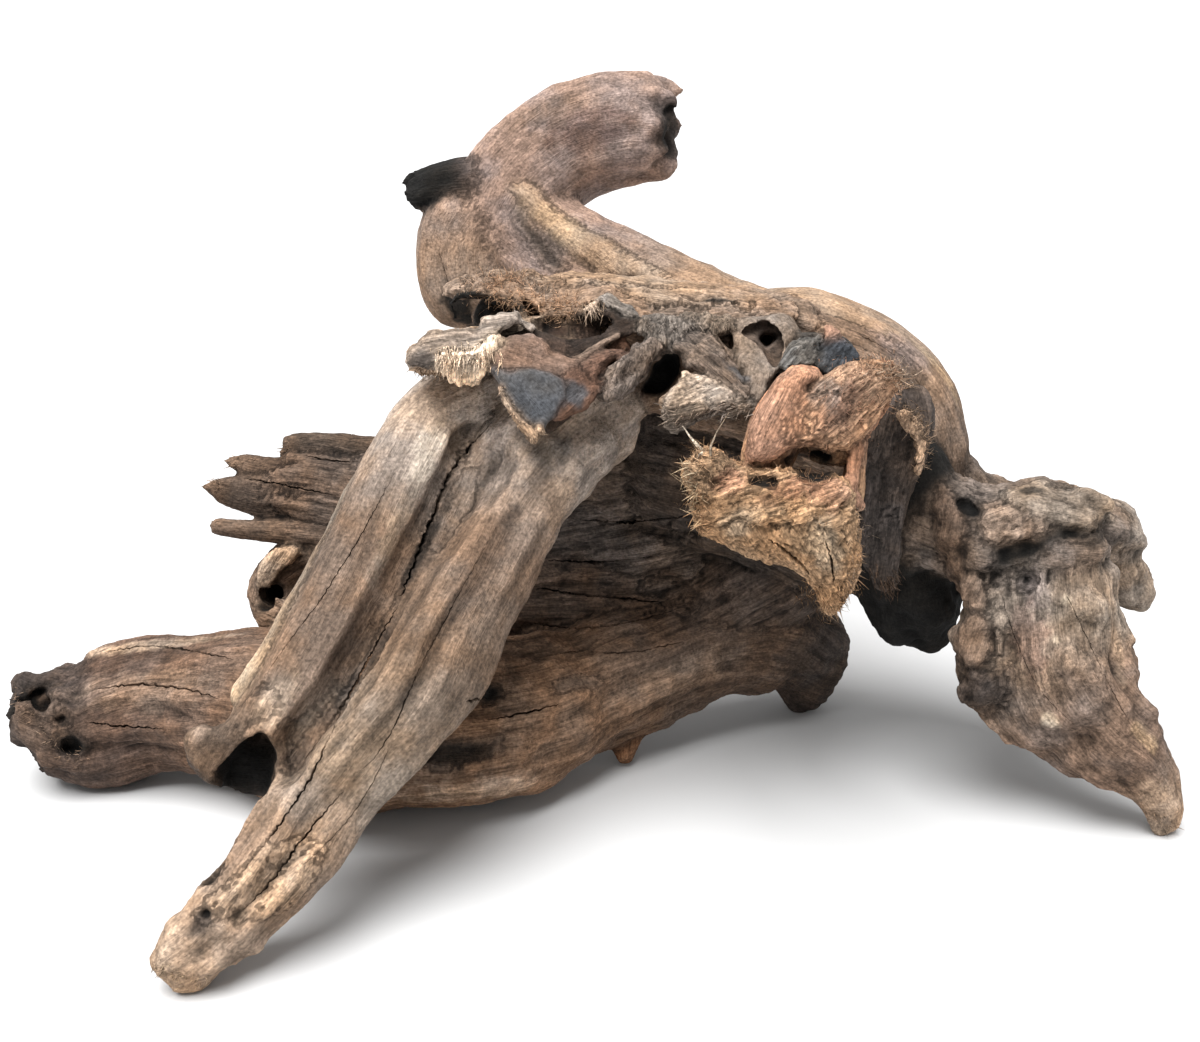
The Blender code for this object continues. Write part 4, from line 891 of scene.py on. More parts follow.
def even_rows(stations, step):
    """Stations along the limb at an even step of arc length, and the length at each."""
    rows = spline(stations)
    run = np.concatenate([[0], np.cumsum(np.linalg.norm(np.diff(rows[:, :3], axis=0), axis=1))])
    count = max(4, int(run[-1] / step) + 1)
    at = np.linspace(0, run[-1], count)
    return np.stack([np.interp(at, run, rows[:, k]) for k in range(rows.shape[1])], 1), at


def unit(v):
    """Rows of vectors, each made one long."""
    return v / np.maximum(np.linalg.norm(v, axis=-1, keepdims=True), 1e-9)


def dot(a, b):
    """The dot product of each row of one with the same row of the other."""
    return np.einsum("ij,ij->i", a, b)


def smoothstep(low, high, values):
    """A soft step from 0 at the low value to 1 at the high one."""
    t = np.clip((values - low) / (high - low), 0, 1)
    return t * t * (3 - 2 * t)


# A direction for each of the lattice's numbers, and what turns a corner into its number
WAYS = unit(np.random.default_rng(7).normal(size=(512, 3)))
PRIMES = np.array([73856093, 19349663, 83492791])


def lattice_hash(cells, seed):
    """A shuffled number for each corner of the lattice."""
    mix = cells @ PRIMES + seed * SEED_STEP
    mix = (mix ^ (mix >> 13)) * SHUFFLE
    return (mix ^ (mix >> 16)) & LOW_BITS


def field(points, seed):
    """Smooth noise from about -1 to 1 at many points at once, with lumps one unit long."""
    cell = np.floor(points).astype(np.int64)
    part = points - cell
    ease = part**3 * (part * (part * 6 - 15) + 10)
    total = np.zeros(len(points))
    for corner in np.ndindex(2, 2, 2):
        way = WAYS[lattice_hash(cell + corner, seed) & 511]
        weight = np.prod(np.where(np.array(corner, bool), ease, 1 - ease), axis=1)
        total += weight * dot(way, part - corner)
    return FIELD_GAIN * total


def rough(points, seed, octaves):
    """Noise with finer and finer lumps on it."""
    total = np.zeros(len(points))
    for k in range(octaves):
        total += field(points * FINER**k, seed + 31 * k) / 2**k
    return total


def pocks(points, seed):
    """Round pits: from 0 between them to 1 at a pit's middle, about one pit a unit."""
    cell = np.floor(points).astype(np.int64)
    nearest = np.full(len(points), 9.0)
    for corner in np.ndindex(3, 3, 3):
        at = cell + np.array(corner) - 1
        mix = lattice_hash(at, seed)
        spot = at + np.stack([mix & 1023, mix >> 10 & 1023, mix >> 20 & 1023], 1) / 1023
        size = POCK_LEAST + POCK_SPREAD * (mix >> 5 & 255) / 255
        nearest = np.minimum(nearest, np.linalg.norm(points - spot, axis=1) / size)
    return np.clip(1 - nearest, 0, 1) ** 0.5


def flute(angle, along, depth, seed):
    """Height of the long ridges on a limb: rounded ridges with narrow grooves between them."""
    x, y = math.cos(angle) * FLUTE_ROUND, math.sin(angle) * FLUTE_ROUND
    broad = abs(noise.noise(Vector((x, y, along / BROAD_FLUTE + seed * 7.3))))
    fine = abs(noise.noise(Vector((2.3 * x + 9, 2.3 * y, along / FINE_FLUTE + seed * 3.1))))
    return depth * (BROAD_SHARE * broad + FINE_SHARE * fine - FLUTE_LEVEL)


def end_scale(kind, gap, half):
    """How wide a section is, as a share, at a distance from the limb's end."""
    length, lowest = ENDS[kind]
    t = min(1.0, gap / (length * half))
    return max(lowest, math.sqrt(1 - (1 - t) ** 2) if kind == "round" else lowest + (1 - lowest) * t)


def rings_of(face, stations, step):
    """The limb's middle line: points, sizes, the three directions of each section and its place."""
    rows, along = even_rows(stations, step)
    tangent = unit(np.gradient(rows[:, :3], axis=0))
    across = unit(np.cross(tangent, np.array(face, float)))
    lift = np.cross(across, tangent)
    return rows[:, :3], rows[:, 3:], tangent, across, lift, along


def loft(name, rings, seed, depth, ends, sides):
    """A closed tube mesh round the limb's middle line, with flutes and its two kinds of end."""
    middle, sizes, tangent, across, lift, along = rings
    length = along[-1]
    points = []
    for i in range(len(middle)):
        half = sizes[i].min() / 2
        share = end_scale(ends[0], along[i], half) * end_scale(ends[1], length - along[i], half)
        for j in range(sides):
            angle = 2 * math.pi * j / sides
            bump = flute(angle, along[i], depth, seed) if depth else 0.0
            jag = 0.0
            for kind, gap, way in ((ends[0], along[i], -1), (ends[1], length - along[i], 1)):
                if kind == "broken" and gap < half:
                    x, y = SPIKES_ROUND * math.cos(angle), SPIKES_ROUND * math.sin(angle)
                    spike = noise.noise(Vector((x, y, seed)))
                    jag += way * spike * half * (1 - gap / half)
            points.append((
                middle[i]
                + share * across[i] * (sizes[i, 0] / 2 + bump) * math.cos(angle)
                + share * lift[i] * (sizes[i, 1] / 2 + bump) * math.sin(angle)
                + tangent[i] * jag
            ))
    count = len(middle)
    faces = [tuple(range(sides))[::-1], tuple(range((count - 1) * sides, count * sides))]
    for i in range(count - 1):
        for j in range(sides):
            k = (j + 1) % sides
            faces.append((i * sides + j, i * sides + k, (i + 1) * sides + k, (i + 1) * sides + j))
    return closed_mesh(name, points, faces)


def closed_mesh(name, points, faces):
    """A mesh from points in millimetres, its faces all turned outward."""
    mesh = bpy.data.meshes.new(name)
    mesh.from_pydata([Vector(p * MM) for p in points], [], faces)
    work = bmesh.new()
    work.from_mesh(mesh)
    bmesh.ops.delete(work, geom=[v for v in work.verts if not v.link_faces], context="VERTS")
    bmesh.ops.recalc_face_normals(work, faces=work.faces)
    work.to_mesh(mesh)
    work.free()
    return mesh


def new_object(name, mesh):
    """An object of the mesh, in the scene."""
    obj = bpy.data.objects.new(name, mesh)
    bpy.context.scene.collection.objects.link(obj)
    return obj


def taken(obj):
    """The object's mesh, with the object itself gone."""
    mesh = obj.data
    bpy.data.objects.remove(obj)
    return mesh


def settled(obj):
    """The object's mesh with its modifiers applied and cleared."""
    graph = bpy.context.evaluated_depsgraph_get()
    mesh = bpy.data.meshes.new_from_object(obj.evaluated_get(graph))
    obj.modifiers.clear()
    old, obj.data = obj.data, mesh
    bpy.data.meshes.remove(old)
    return mesh


def merged(name, meshes):
    """One object of several meshes, which are used up."""
    work = bmesh.new()
    for mesh in meshes:
        work.from_mesh(mesh)
        bpy.data.meshes.remove(mesh)
    joined = bpy.data.meshes.new(name)
    work.to_mesh(joined)
    work.free()
    return new_object(name, joined)


class Grain:
    """Tells, for any point near the skin, which form it is on and where along and across it."""

    def __init__(self):
        self.names, self.spots, self.owners, self.frames = [], [], [], []

    def add(self, name, spots, owners, frames):
        """frames are rows of a middle, three directions, a run and a length. owners says each spot's row."""
        start = sum(len(rows) for rows in self.frames)
        self.spots.append(spots)
        self.owners.append(owners + start)
        self.frames.append(np.column_stack([*frames, np.full(len(frames[0]), len(self.names))]))
        self.names.append(name)

    def balance(self):
        """Readies the search for the nearest form, once all forms are in."""
        spots = np.concatenate(self.spots)
        self.owner = np.concatenate(self.owners)
        self.frame = np.concatenate(self.frames)
        self.tree = kdtree.KDTree(len(spots))
        for i, spot in enumerate(spots):
            self.tree.insert(spot, i)
        self.tree.balance()

    def at(self, points):
        """Form number, share along it, and grain coordinates in millimetres: along, across, out."""
        rows = self.frame[self.owner[[self.tree.find(p)[1] for p in points]]]
        middle, tangent, across, lift = (rows[:, k:k + 3] for k in (0, 3, 6, 9))
        form = rows[:, 14].astype(int)
        gap = points - middle
        run = rows[:, 12] + dot(gap, tangent)
        coords = np.stack([run + GRAIN_SHIFT * form, dot(gap, across), dot(gap, lift)], 1)
        return form, np.clip(run / rows[:, 13], 0, 1), coords

    def way_at(self, point):
        """The grain's direction at a point."""
        return self.frame[self.owner[self.tree.find(point)[1]], 3:6]

    def coat_of(self, form, column):
        """One column of the coats' table, for each point's form."""
        return np.array([COATS[name][column] for name in self.names])[form]


def points_of(mesh):
    """The mesh's vertices as rows, in metres."""
    points = np.empty(len(mesh.vertices) * 3, np.float32)
    mesh.vertices.foreach_get("co", points)
    return points.reshape(-1, 3).astype(float)


def normals_of(mesh):
    """The normal at each vertex."""
    normals = np.empty(len(mesh.vertices) * 3, np.float32)
    mesh.vertices.foreach_get("normal", normals)
    return normals.reshape(-1, 3).astype(float)


def put_points(mesh, points):
    """Moves the mesh's vertices."""
    mesh.vertices.foreach_set("co", points.astype(np.float32).ravel())
    mesh.update()


def values_of(mesh, name, width):
    """What is stored on the mesh for each vertex."""
    values = np.empty(len(mesh.vertices) * width, np.float32)
    kind = "color" if width == 4 else "vector"
    mesh.attributes[name].data.foreach_get(kind, values)
    return values.reshape(-1, width)


def neighbour_mean(mesh):
    """A function that averages each vertex's values over its neighbours."""
    edges = np.empty(len(mesh.edges) * 2, np.int32)
    mesh.edges.foreach_get("vertices", edges)
    a, b = edges.reshape(-1, 2).T
    count = np.bincount(np.concatenate([a, b]), minlength=len(mesh.vertices)).astype(float)

    def mean(values):
        total = np.zeros_like(values)
        for k in range(values.shape[1]):
            total[:, k] = np.bincount(a, values[b, k], len(count))
            total[:, k] += np.bincount(b, values[a, k], len(count))
        return total / np.maximum(count, 1)[:, None]

    return mean


def fuse(obj, voxel):
    """Makes the overlapping closed forms one skin."""
    remesh = obj.modifiers.new("fuse", "REMESH")
    remesh.mode = "VOXEL"
    remesh.voxel_size = voxel * MM
    settled(obj)


def fill_creases(mesh, rounds):
    """Wood grows into the fork between two limbs: hollow creases fill, ridges only soften a little."""
    mean = neighbour_mean(mesh)
    points = points_of(mesh)
    for _ in range(rounds):
        put_points(mesh, points)
        pull = mean(points) - points
        hollow = dot(pull, normals_of(mesh)) > 0
        points = points + pull * np.where(hollow, CREASE_FILL, RIDGE_SOFTENING)[:, None]
    put_points(mesh, points)


def press_grooves(mesh, grooves):
    """Sinks the skin under each groove's path. The path may float near the skin it marks."""
    points, normals = points_of(mesh) / MM, normals_of(mesh)
    sink = np.zeros(len(points))
    for width, depth, path in grooves.values():
        line = spline(path, 12)
        low, high = line.min(0) - GROOVE_REACH, line.max(0) + GROOVE_REACH
        near = np.flatnonzero(((points > low) & (points < high)).all(1))
        nearest = np.full(len(near), GROOVE_REACH)
        aside = np.full(len(near), np.inf)
        for spot in line:
            gap = points[near] - spot
            reach = np.linalg.norm(gap, axis=1)
            lift = dot(gap, normals[near])
            side = np.linalg.norm(gap - normals[near] * lift[:, None], axis=1)
            aside = np.where(reach < nearest, side, aside)
            nearest = np.minimum(nearest, reach)
        sink[near] = np.maximum(sink[near], depth * np.clip(1 - aside / width, 0, 1))
    put_points(mesh, (points - normals * sink[:, None]) * MM)


def weather(mesh, wear):
    """Uneven lumps and dips left by rot, each kind fading out from its middle."""
    points, normals = points_of(mesh) / MM, normals_of(mesh)
    push = np.zeros(len(points))
    for middle, radius, length, height in wear.values():
        fade = np.clip(2 - 2 * np.linalg.norm(points - middle, axis=1) / radius, 0, 1)
        for i in np.flatnonzero(fade):
            push[i] += fade[i] * height * noise.fractal(Vector(points[i] / length), *ROT_NOISE)
    put_points(mesh, (points + normals * push[:, None]) * MM)


def cut(obj, cutter, operation="DIFFERENCE"):
    """Takes the cutter's solid away from the object, or keeps only what lies in it."""
    boolean = obj.modifiers.new("cut", "BOOLEAN")
    boolean.operation = operation
    boolean.solver = "MANIFOLD"
    boolean.object = cutter
    settled(obj)


def plant_feet(mesh, feet):
    """Brings the lowest point of each foot to one level, a little under the floor."""
    points = points_of(mesh) / MM
    for x, y, radius in feet.values():
        gap = np.hypot(points[:, 0] - x, points[:, 1] - y)
        lowest = points[(gap < radius) & (points[:, 2] < FOOT_HEIGHT), 2].min()
        share = np.clip(2 - 2 * gap / radius, 0, 1) * np.clip(1 - (points[:, 2] - lowest) / FOOT_HEIGHT, 0, 1)
        points[:, 2] -= (lowest + FOOT_CUT) * share
    put_points(mesh, points * MM)


def wear_along_grain(mesh, grain):
    """The wood's own relief: ridges along the grain, threads on them, and pits where it rots."""
    points, normals = points_of(mesh) / MM, normals_of(mesh)
    form, _, coords = grain.at(points)
    mean = neighbour_mean(mesh)
    soft = np.stack([grain.coat_of(form, k) for k in (1, 2, 3)], 1)
    for _ in range(SOFT_ROUNDS):
        soft = mean(soft)
    ridge, pit, thread = soft.T
    broad = BROAD_HEIGHT * (np.abs(field(coords / BROAD_RIDGE, 3)) - BROAD_LEVEL)
    middle = MIDDLE_HEIGHT * (np.abs(rough(coords / MIDDLE_RIDGE, 5, 2)) - MIDDLE_LEVEL)
    fine = field(coords / FINE_RIDGE, 11)
    push = ridge * (broad + middle + FINE_HEIGHT * fine)
    lumps = rough(points / ROT_LUMP, 17, 3)
    where = smoothstep(0.0, 0.5, field(points / ROT_PATCH, 29))
    stretched = coords / ROT_PIT + POCK_WAVER * lumps[:, None]
    push += pit * (LUMP_HEIGHT * lumps - POCK_DEPTH * where * pocks(stretched, 23))
    threads = np.abs(field(coords / TORN_THREAD + TORN_WAVER * lumps[:, None], 37))
    push += thread * (TORN_HEIGHT * threads - TORN_LEVEL)
    put_points(mesh, (points + normals * push[:, None]) * MM)


def camera_axes():
    """The camera's place in millimetres, and the directions ahead, right and up of its picture."""
    ahead = np.array((0, math.cos(CAMERA_TILT), -math.sin(CAMERA_TILT)))
    high = np.array((0, math.sin(CAMERA_TILT), math.cos(CAMERA_TILT)))
    return np.array(CAMERA_AIM) - CAMERA_DISTANCE * ahead, ahead, np.array((1.0, 0, 0)), high


def rays(pixels):
    """Directions from the camera through pixels of the photograph."""
    _, ahead, right, high = camera_axes()
    focal = LENS / SENSOR * PHOTO_WIDTH
    aside = (pixels[:, 0] - PHOTO_WIDTH / 2) / focal
    up = (PHOTO_HEIGHT / 2 - pixels[:, 1]) / focal
    return ahead + aside[:, None] * right + up[:, None] * high


def under_pixels(pixels, depth):
    """The points under pixels of the photograph at the given y, in millimetres."""
    eye = camera_axes()[0]
    way = rays(pixels)
    return eye + way * ((depth - eye[1]) / way[:, 1])[:, None]


def ragged_outline(outline, jag, seed):
    """The outline's pixels at an even step, pushed in and out at random, with the y of each."""
    rows = np.array(outline + outline[:1], float)
    run = np.concatenate([[0], np.cumsum(np.linalg.norm(np.diff(rows[:, :2], axis=0), axis=1))])
    at = np.linspace(0, run[-1], int(run[-1] / PIXEL_STEP), endpoint=False)
    found = np.stack([np.interp(at, run, rows[:, k]) for k in range(3)], 1)
    way = unit(np.roll(found[:, :2], -1, 0) - np.roll(found[:, :2], 1, 0))
    spots = np.column_stack([found[:, :2] / PIXEL_LUMP, np.full(len(found), seed)])
    push = jag * PIXELS_PER_MM * rough(spots, seed, 2)
    found[:, :2] += push[:, None] * np.stack([-way[:, 1], way[:, 0]], 1)
    return found


def inside(spots, ring):
    """Which spots lie inside a closed ring of points, in the picture's plane."""
    x, y = spots.T
    found = np.zeros(len(spots), bool)
    for (ax, ay), (bx, by) in zip(ring, np.roll(ring, -1, 0)):
        crosses = (ay > y) != (by > y)
        found ^= crosses & (x < (bx - ax) * (y - ay) / (by - ay if by != ay else 1) + ax)
    return found


def edge_gap(spots, ring):
    """Each spot's distance to the ring."""
    nearest = np.full(len(spots), np.inf)
    for a, b in zip(ring, np.roll(ring, -1, 0)):
        along = np.clip((spots - a) @ (b - a) / max((b - a) @ (b - a), 1e-9), 0, 1)
        nearest = np.minimum(nearest, np.linalg.norm(spots - a - along[:, None] * (b - a), axis=1))
    return nearest


def slab(name, outline, rim, rise, depth, jag, seed, photo=None):
    """A closed solid with an outline from the photograph, rounded at its rim. Returns it and its points.

    Where the outline has no y, the solid follows the skin that the photograph's rays meet."""
    on_skin = len(outline[0]) == 2
    outline = [(*row[:2], 0.0 if on_skin else row[2]) for row in outline]
    ring = ragged_outline(outline, jag, seed)
    low, high = ring[:, :2].min(0), ring[:, :2].max(0)
    columns, lines = (np.arange(low[k], high[k], PIXEL_STEP) for k in (0, 1))
    grid = np.stack(np.meshgrid(columns, lines), -1)
    grid = grid.reshape(-1, 2)
    grid = grid[inside(grid, ring[:, :2])]
    grid = grid[edge_gap(grid, ring[:, :2]) > PIXEL_EDGE]
    flat = [Vector(p) for p in np.vstack([ring[:, :2], grid])]
    edges = [(i, (i + 1) % len(ring)) for i in range(len(ring))]
    spots, _, faces, *_ = geometry.delaunay_2d_cdt(flat, edges, [], 1, 1e-4)
    spots = np.array([tuple(p) for p in spots])
    if on_skin:
        y = photo.depths(spots)
    else:
        gap = np.linalg.norm(spots[:, None] - np.array(outline, float)[None, :, :2], axis=2)
        weight = 1 / np.maximum(gap, 1) ** 2
        y = weight @ np.array(outline, float)[:, 2] / weight.sum(1)
    at = np.clip(edge_gap(spots, ring[:, :2]) / PIXELS_PER_MM / rim, 0, 1)
    swell = np.sqrt(1 - (1 - at) ** 2)[:, None]
    middle, way = under_pixels(spots, y), unit(rays(spots))
    count = len(spots)
    back_of = np.where(at < 1e-6, np.arange(count), np.arange(count) + count)
    points = np.vstack([middle - way * rise * swell, middle + way * depth * swell])
    faces = [tuple(f) for f in faces]
    faces += [tuple(back_of[i] for i in reversed(f)) for f in faces]
    return closed_mesh(name, points, faces), points[:count], points[count:]


def slab_frame(points, angle):
    """One grain frame for a slab, with the grain at an angle in the picture."""
    _, ahead, right, high = camera_axes()
    turn = math.radians(angle)
    tangent = right * math.cos(turn) + high * math.sin(turn)
    across = np.cross(tangent, ahead)
    length = np.array([SLAB_LENGTH])
    return [row[None] for row in (points.mean(0), tangent, across, -ahead, np.zeros(1), length)]


class Photograph:
    """Turns pixels of the photograph into points on the skins, seen from the camera."""

    def __init__(self, objects):
        graph = bpy.context.evaluated_depsgraph_get()
        self.trees = [bvhtree.BVHTree.FromObject(obj, graph) for obj in objects]
        self.eye = Vector(camera_axes()[0]) * MM

    def hit(self, pixel):
        """The nearest skin's point and normal under a pixel, in millimetres, and which skin it is on."""
        way = Vector(rays(np.array([pixel], float))[0])
        hits = [(*tree.ray_cast(self.eye, way), k) for k, tree in enumerate(self.trees)]
        hits = [h for h in hits if h[0]]
        if not hits:
            return None
        spot, normal, _, _, skin = min(hits, key=lambda h: h[3])
        return np.array(spot) / MM, np.array(normal), skin

    def depths(self, spots):
        """The y of the skin under each pixel, or the middle y where that misses it or is far behind."""
        hits = [self.hit(spot) for spot in spots]
        y = np.array([h[0][1] if h else np.nan for h in hits])
        middle = np.nanmedian(y)
        return np.where(np.abs(y - middle) < FACE_JUMP, y, middle)

    def line(self, pixels):
        """The skin's points and normals along a line of pixels, without jumps to what lies behind."""
        found = []
        rows = spline([(x, y, 0) for x, y in pixels])[:, :2]
        run = np.concatenate([[0], np.cumsum(np.linalg.norm(np.diff(rows, axis=0), axis=1))])
        for at in np.arange(0, run[-1], PIXEL_STEP):
            hit = self.hit([np.interp(at, run, rows[:, k]) for k in (0, 1)])
            if not hit:
                continue
            if found and (np.linalg.norm(hit[0] - found[-1][0]) >= LINE_JUMP or hit[2] != found[0][2]):
                continue
            found.append(hit)
        return found


def crack_cutter(name, width, depth, hits, seed):
    """A thin wedge that follows the skin, widest in its middle, to open a crack."""
    draw = random.Random(seed)
    spots = np.array([h[0] for h in hits])
    normals = unit(np.array([h[1] for h in hits]))
    for _ in range(2):
        normals[1:-1] = unit(normals[1:-1] * 2 + normals[:-2] + normals[2:])
    way = unit(np.gradient(spots, axis=0))
    side = unit(np.cross(way, normals))
    points, faces = [], []
    last = len(spots) - 1
    for i, spot in enumerate(spots):
        share = CRACK_ENDS + (1 - CRACK_ENDS) * math.sin(math.pi * i / last) ** CRACK_SWELL
        half = width / 2 * share * draw.uniform(*CRACK_WIDTHS)
        spot = spot + side[i] * draw.uniform(-CRACK_WAVER, CRACK_WAVER) * width
        top = spot + normals[i] * CRACK_STAND
        flare = side[i] * half * CRACK_FLARE
        points += [top + flare, top - flare, spot - normals[i] * depth * share]
    for i in range(last):
        for j in range(3):
            k = (j + 1) % 3
            faces.append((3 * i + j, 3 * i + k, 3 * i + 3 + k, 3 * i + 3 + j))
    faces += [(2, 1, 0), (3 * last, 3 * last + 1, 3 * last + 2)]
    return closed_mesh(name, points, faces)


def tone_along(colours, share):
    """The colour at a share of the way along a row of colours."""
    table = np.array(colours, float)
    at = share * (len(table) - 1)
    return np.stack([np.interp(at, np.arange(len(table)), table[:, k]) for k in range(3)], 1)


def hollowness(mesh, mean):
    """How far each vertex lies in a dip, from -1 on a ridge to 1.5 in a pit, over three sizes of dip."""
    points, normals = points_of(mesh) / MM, normals_of(mesh)
    hollow = np.zeros(len(points))
    smooth = points
    for rounds, reach in DIPS:
        for _ in range(rounds):
            smooth = mean(smooth)
        hollow += np.clip(dot(smooth - points, normals) / reach, *DIP_LIMITS) / len(DIPS)
    return hollow


def lay_stains_and_painted_light(points, tone, grain, photo):
    """Lays the stains, painted shade and painted highlights on the skin, each round the spot that the
    photograph shows it at.
    """
    blur = MARK_WAVER * rough(points / MARK_LUMP, 41, 3)
    for pixel, (along, across), colour, strength in STAINS_AND_PAINTED_LIGHT.values():
        hit = photo.hit(pixel)
        if not hit:
            continue
        gap = points - hit[0]
        run = gap @ grain.way_at(hit[0])
        aside = np.linalg.norm(gap, axis=1) ** 2 - run**2
        reach = np.sqrt((run / along) ** 2 + np.maximum(aside, 0) / across**2) + blur
        amount = strength * (1 - smoothstep(*MARK_EDGE, reach))[:, None]
        tone = tone * (1 - amount) + np.array(colour) * amount
    return tone


def paint(mesh, grain, photo):
    """Stores each vertex's colour, with painted shade in dips and painted light on ridges, and its grain
    coordinates on the mesh, for the material to read.
    """
    points = points_of(mesh) / MM
    form, share, coords = grain.at(points)
    tone = np.zeros((len(points), 3))
    for k, name in enumerate(grain.names):
        here = form == k
        tone[here] = tone_along(COATS[name][0], share[here])
    mean = neighbour_mean(mesh)
    for _ in range(TONE_ROUNDS):
        tone = TONE_KEPT * tone + TONE_SPREAD * mean(tone)
    tone = lay_stains_and_painted_light(points, tone, grain, photo)
    # Painted shade and painted light: vertices in dips are darkened and those on ridges lightened, as the
    # light would fall
    tone *= np.clip(1 - DIP_PAINTED_SHADE * hollowness(mesh, mean), *TONE_LIMITS)[:, None]
    streaky = grain.coat_of(form, 4)[:, None]
    for _ in range(SOFT_ROUNDS):
        streaky = mean(streaky)
    store(mesh, "tone", "FLOAT_COLOR", np.column_stack([tone, streaky]))
    store(mesh, "grain", "FLOAT_VECTOR", coords)


def store(mesh, name, kind, values):
    """Keeps a value for each vertex on the mesh."""
    attribute = mesh.attributes.new(name, kind, "POINT")
    field_name = "color" if kind == "FLOAT_COLOR" else "vector"
    attribute.data.foreach_set(field_name, values.astype(np.float32).ravel())


def link(tree, kind, inputs, **settings):
    """A node with its settings, and its inputs set or linked."""
    node = tree.nodes.new(kind)
    for name, value in settings.items():
        setattr(node, name, value)
    for name, value in inputs.items():
        if isinstance(value, bpy.types.NodeSocket):
            tree.links.new(value, node.inputs[name])
        else:
            node.inputs[name].default_value = value
    return node


def streaks(tree, coords, along, across, detail):
    """Noise stretched along the grain, from 0 to 1. Lengths are in millimetres."""
    scaled = link(tree, "ShaderNodeVectorMath", {0: coords, 1: (1 / along, 1 / across, 1 / across)},
                  operation="MULTIPLY")
    found = link(tree, "ShaderNodeTexNoise", {"Vector": scaled.outputs[0], "Scale": 1.0, "Detail": detail})
    return found.outputs["Fac"]


def remap(tree, value, low, high, new_low, new_high):
    """The value moved from one range to another."""
    node = link(tree, "ShaderNodeMapRange", {
        "Value": value, "From Min": low, "From Max": high, "To Min": new_low, "To Max": new_high})
    return node.outputs["Result"]


def scaled_colour(tree, colour, factor):
    """The colour times a factor."""
    node = link(tree, "ShaderNodeVectorMath", {0: colour, "Scale": factor}, operation="SCALE")
    return node.outputs[0]


def scaled_by(tree, colour, value, low, high, darkest, lightest, share):
    """The colour made darker and lighter by a value, by only a share of what is asked."""
    change = remap(tree, value, low, high, darkest - 1, lightest - 1)
    factor = link(tree, "ShaderNodeMath", {0: change, 1: share, 2: 1.0}, operation="MULTIPLY_ADD")
    return scaled_colour(tree, colour, factor.outputs[0])


def wood_material():
    """Weathered wood: the stored colour, varied by streaks along the stored grain."""
    material = bpy.data.materials.new("weathered_wood")
    material.use_nodes = True
    tree = material.node_tree
    shader = tree.nodes["Principled BSDF"]
    coat = link(tree, "ShaderNodeAttribute", {}, attribute_name="tone")
    tone, streaky = coat.outputs["Color"], coat.outputs["Alpha"]
    coords = link(tree, "ShaderNodeAttribute", {}, attribute_name="grain").outputs["Vector"]
    place = link(tree, "ShaderNodeTexCoord", {}).outputs["Object"]
    found = {name: streaks(tree, coords, *sizes) for name, sizes in STREAKS.items()}
    for name, (scale, detail) in MOTTLES.items():
        texture = link(tree, "ShaderNodeTexNoise", {"Vector": place, "Scale": scale, "Detail": detail})
        found[name] = texture.outputs["Fac"]
    away = link(tree, "ShaderNodeMath", {0: found["lines"], 1: 0.5}, operation="SUBTRACT").outputs[0]
    found["crevice"] = link(tree, "ShaderNodeMath", {0: away}, operation="ABSOLUTE").outputs[0]
    warm, cool = (
        link(tree, "ShaderNodeVectorMath", {0: tone, 1: tint}, operation="MULTIPLY").outputs[0]
        for tint in (WARM, COOL))
    share = remap(tree, found["blotch"], 0.4, 0.6, 0, 1)
    colour = link(tree, "ShaderNodeMix", {"Factor": share, 6: warm, 7: cool}, data_type="RGBA").outputs[2]
    for name, (low, high, darkest, lightest, follows) in SHADES.items():
        share = streaky if follows else 1.0
        colour = scaled_by(tree, colour, found[name], low, high, darkest, lightest, share)
    tree.links.new(colour, shader.inputs["Base Color"])
    shader.inputs["Roughness"].default_value = ROUGHNESS
    shader.inputs["Specular IOR Level"].default_value = SPECULAR
    height = link(tree, "ShaderNodeMath", {0: found["fine"], 1: found["hair"]}, operation="ADD").outputs[0]
    height = link(tree, "ShaderNodeMath", {0: height, 1: found["speck"]}, operation="ADD").outputs[0]
    bump = link(tree, "ShaderNodeBump", {"Height": height, "Distance": BUMP, "Strength": 1.0})
    tree.links.new(bump.outputs[0], shader.inputs["Normal"])
    return material


def floor_material():
    """A matt pale grey."""
    material = bpy.data.materials.new("pale_floor")
    material.use_nodes = True
    shader = material.node_tree.nodes["Principled BSDF"]
    shader.inputs["Base Color"].default_value = (FLOOR_GREY, FLOOR_GREY, FLOOR_GREY, 1)
    shader.inputs["Roughness"].default_value = FLOOR_ROUGHNESS
    return material


def make_tubes(names, grain, shrink=1.0, set_back=0.0):
    """The named limbs' tubes, made thinner and moved away from the camera where asked."""
    for name in names:
        face, seed, depth, ends, stations = LIMBS[name]
        stations = [(x, y + set_back, z, w * shrink, t * shrink) for x, y, z, w, t in stations]
        rings = rings_of(face, stations, RING_STEP)
        tube = loft(name, rings, seed, depth, ends, SIDES)
        middle, _, tangent, across, lift, along = rings
        frames = [middle, tangent, across, lift, along, np.full(len(along), along[-1])]
        grain.add(name, points_of(tube) / MM, np.arange(len(middle) * SIDES) // SIDES, frames)
        yield tube


def make_faces(faces, grain, photo=None):
    """The torn faces' slabs, one after another."""
    for seed, (name, (rim, rise, depth, jag, angle, outline)) in enumerate(faces.items()):
        mesh, front, back = slab(name, outline, rim, rise, depth, jag, seed, photo)
        spots = np.vstack([front, back])
        grain.add(name, spots, np.zeros(len(spots), int), slab_frame(front, angle))
        yield mesh


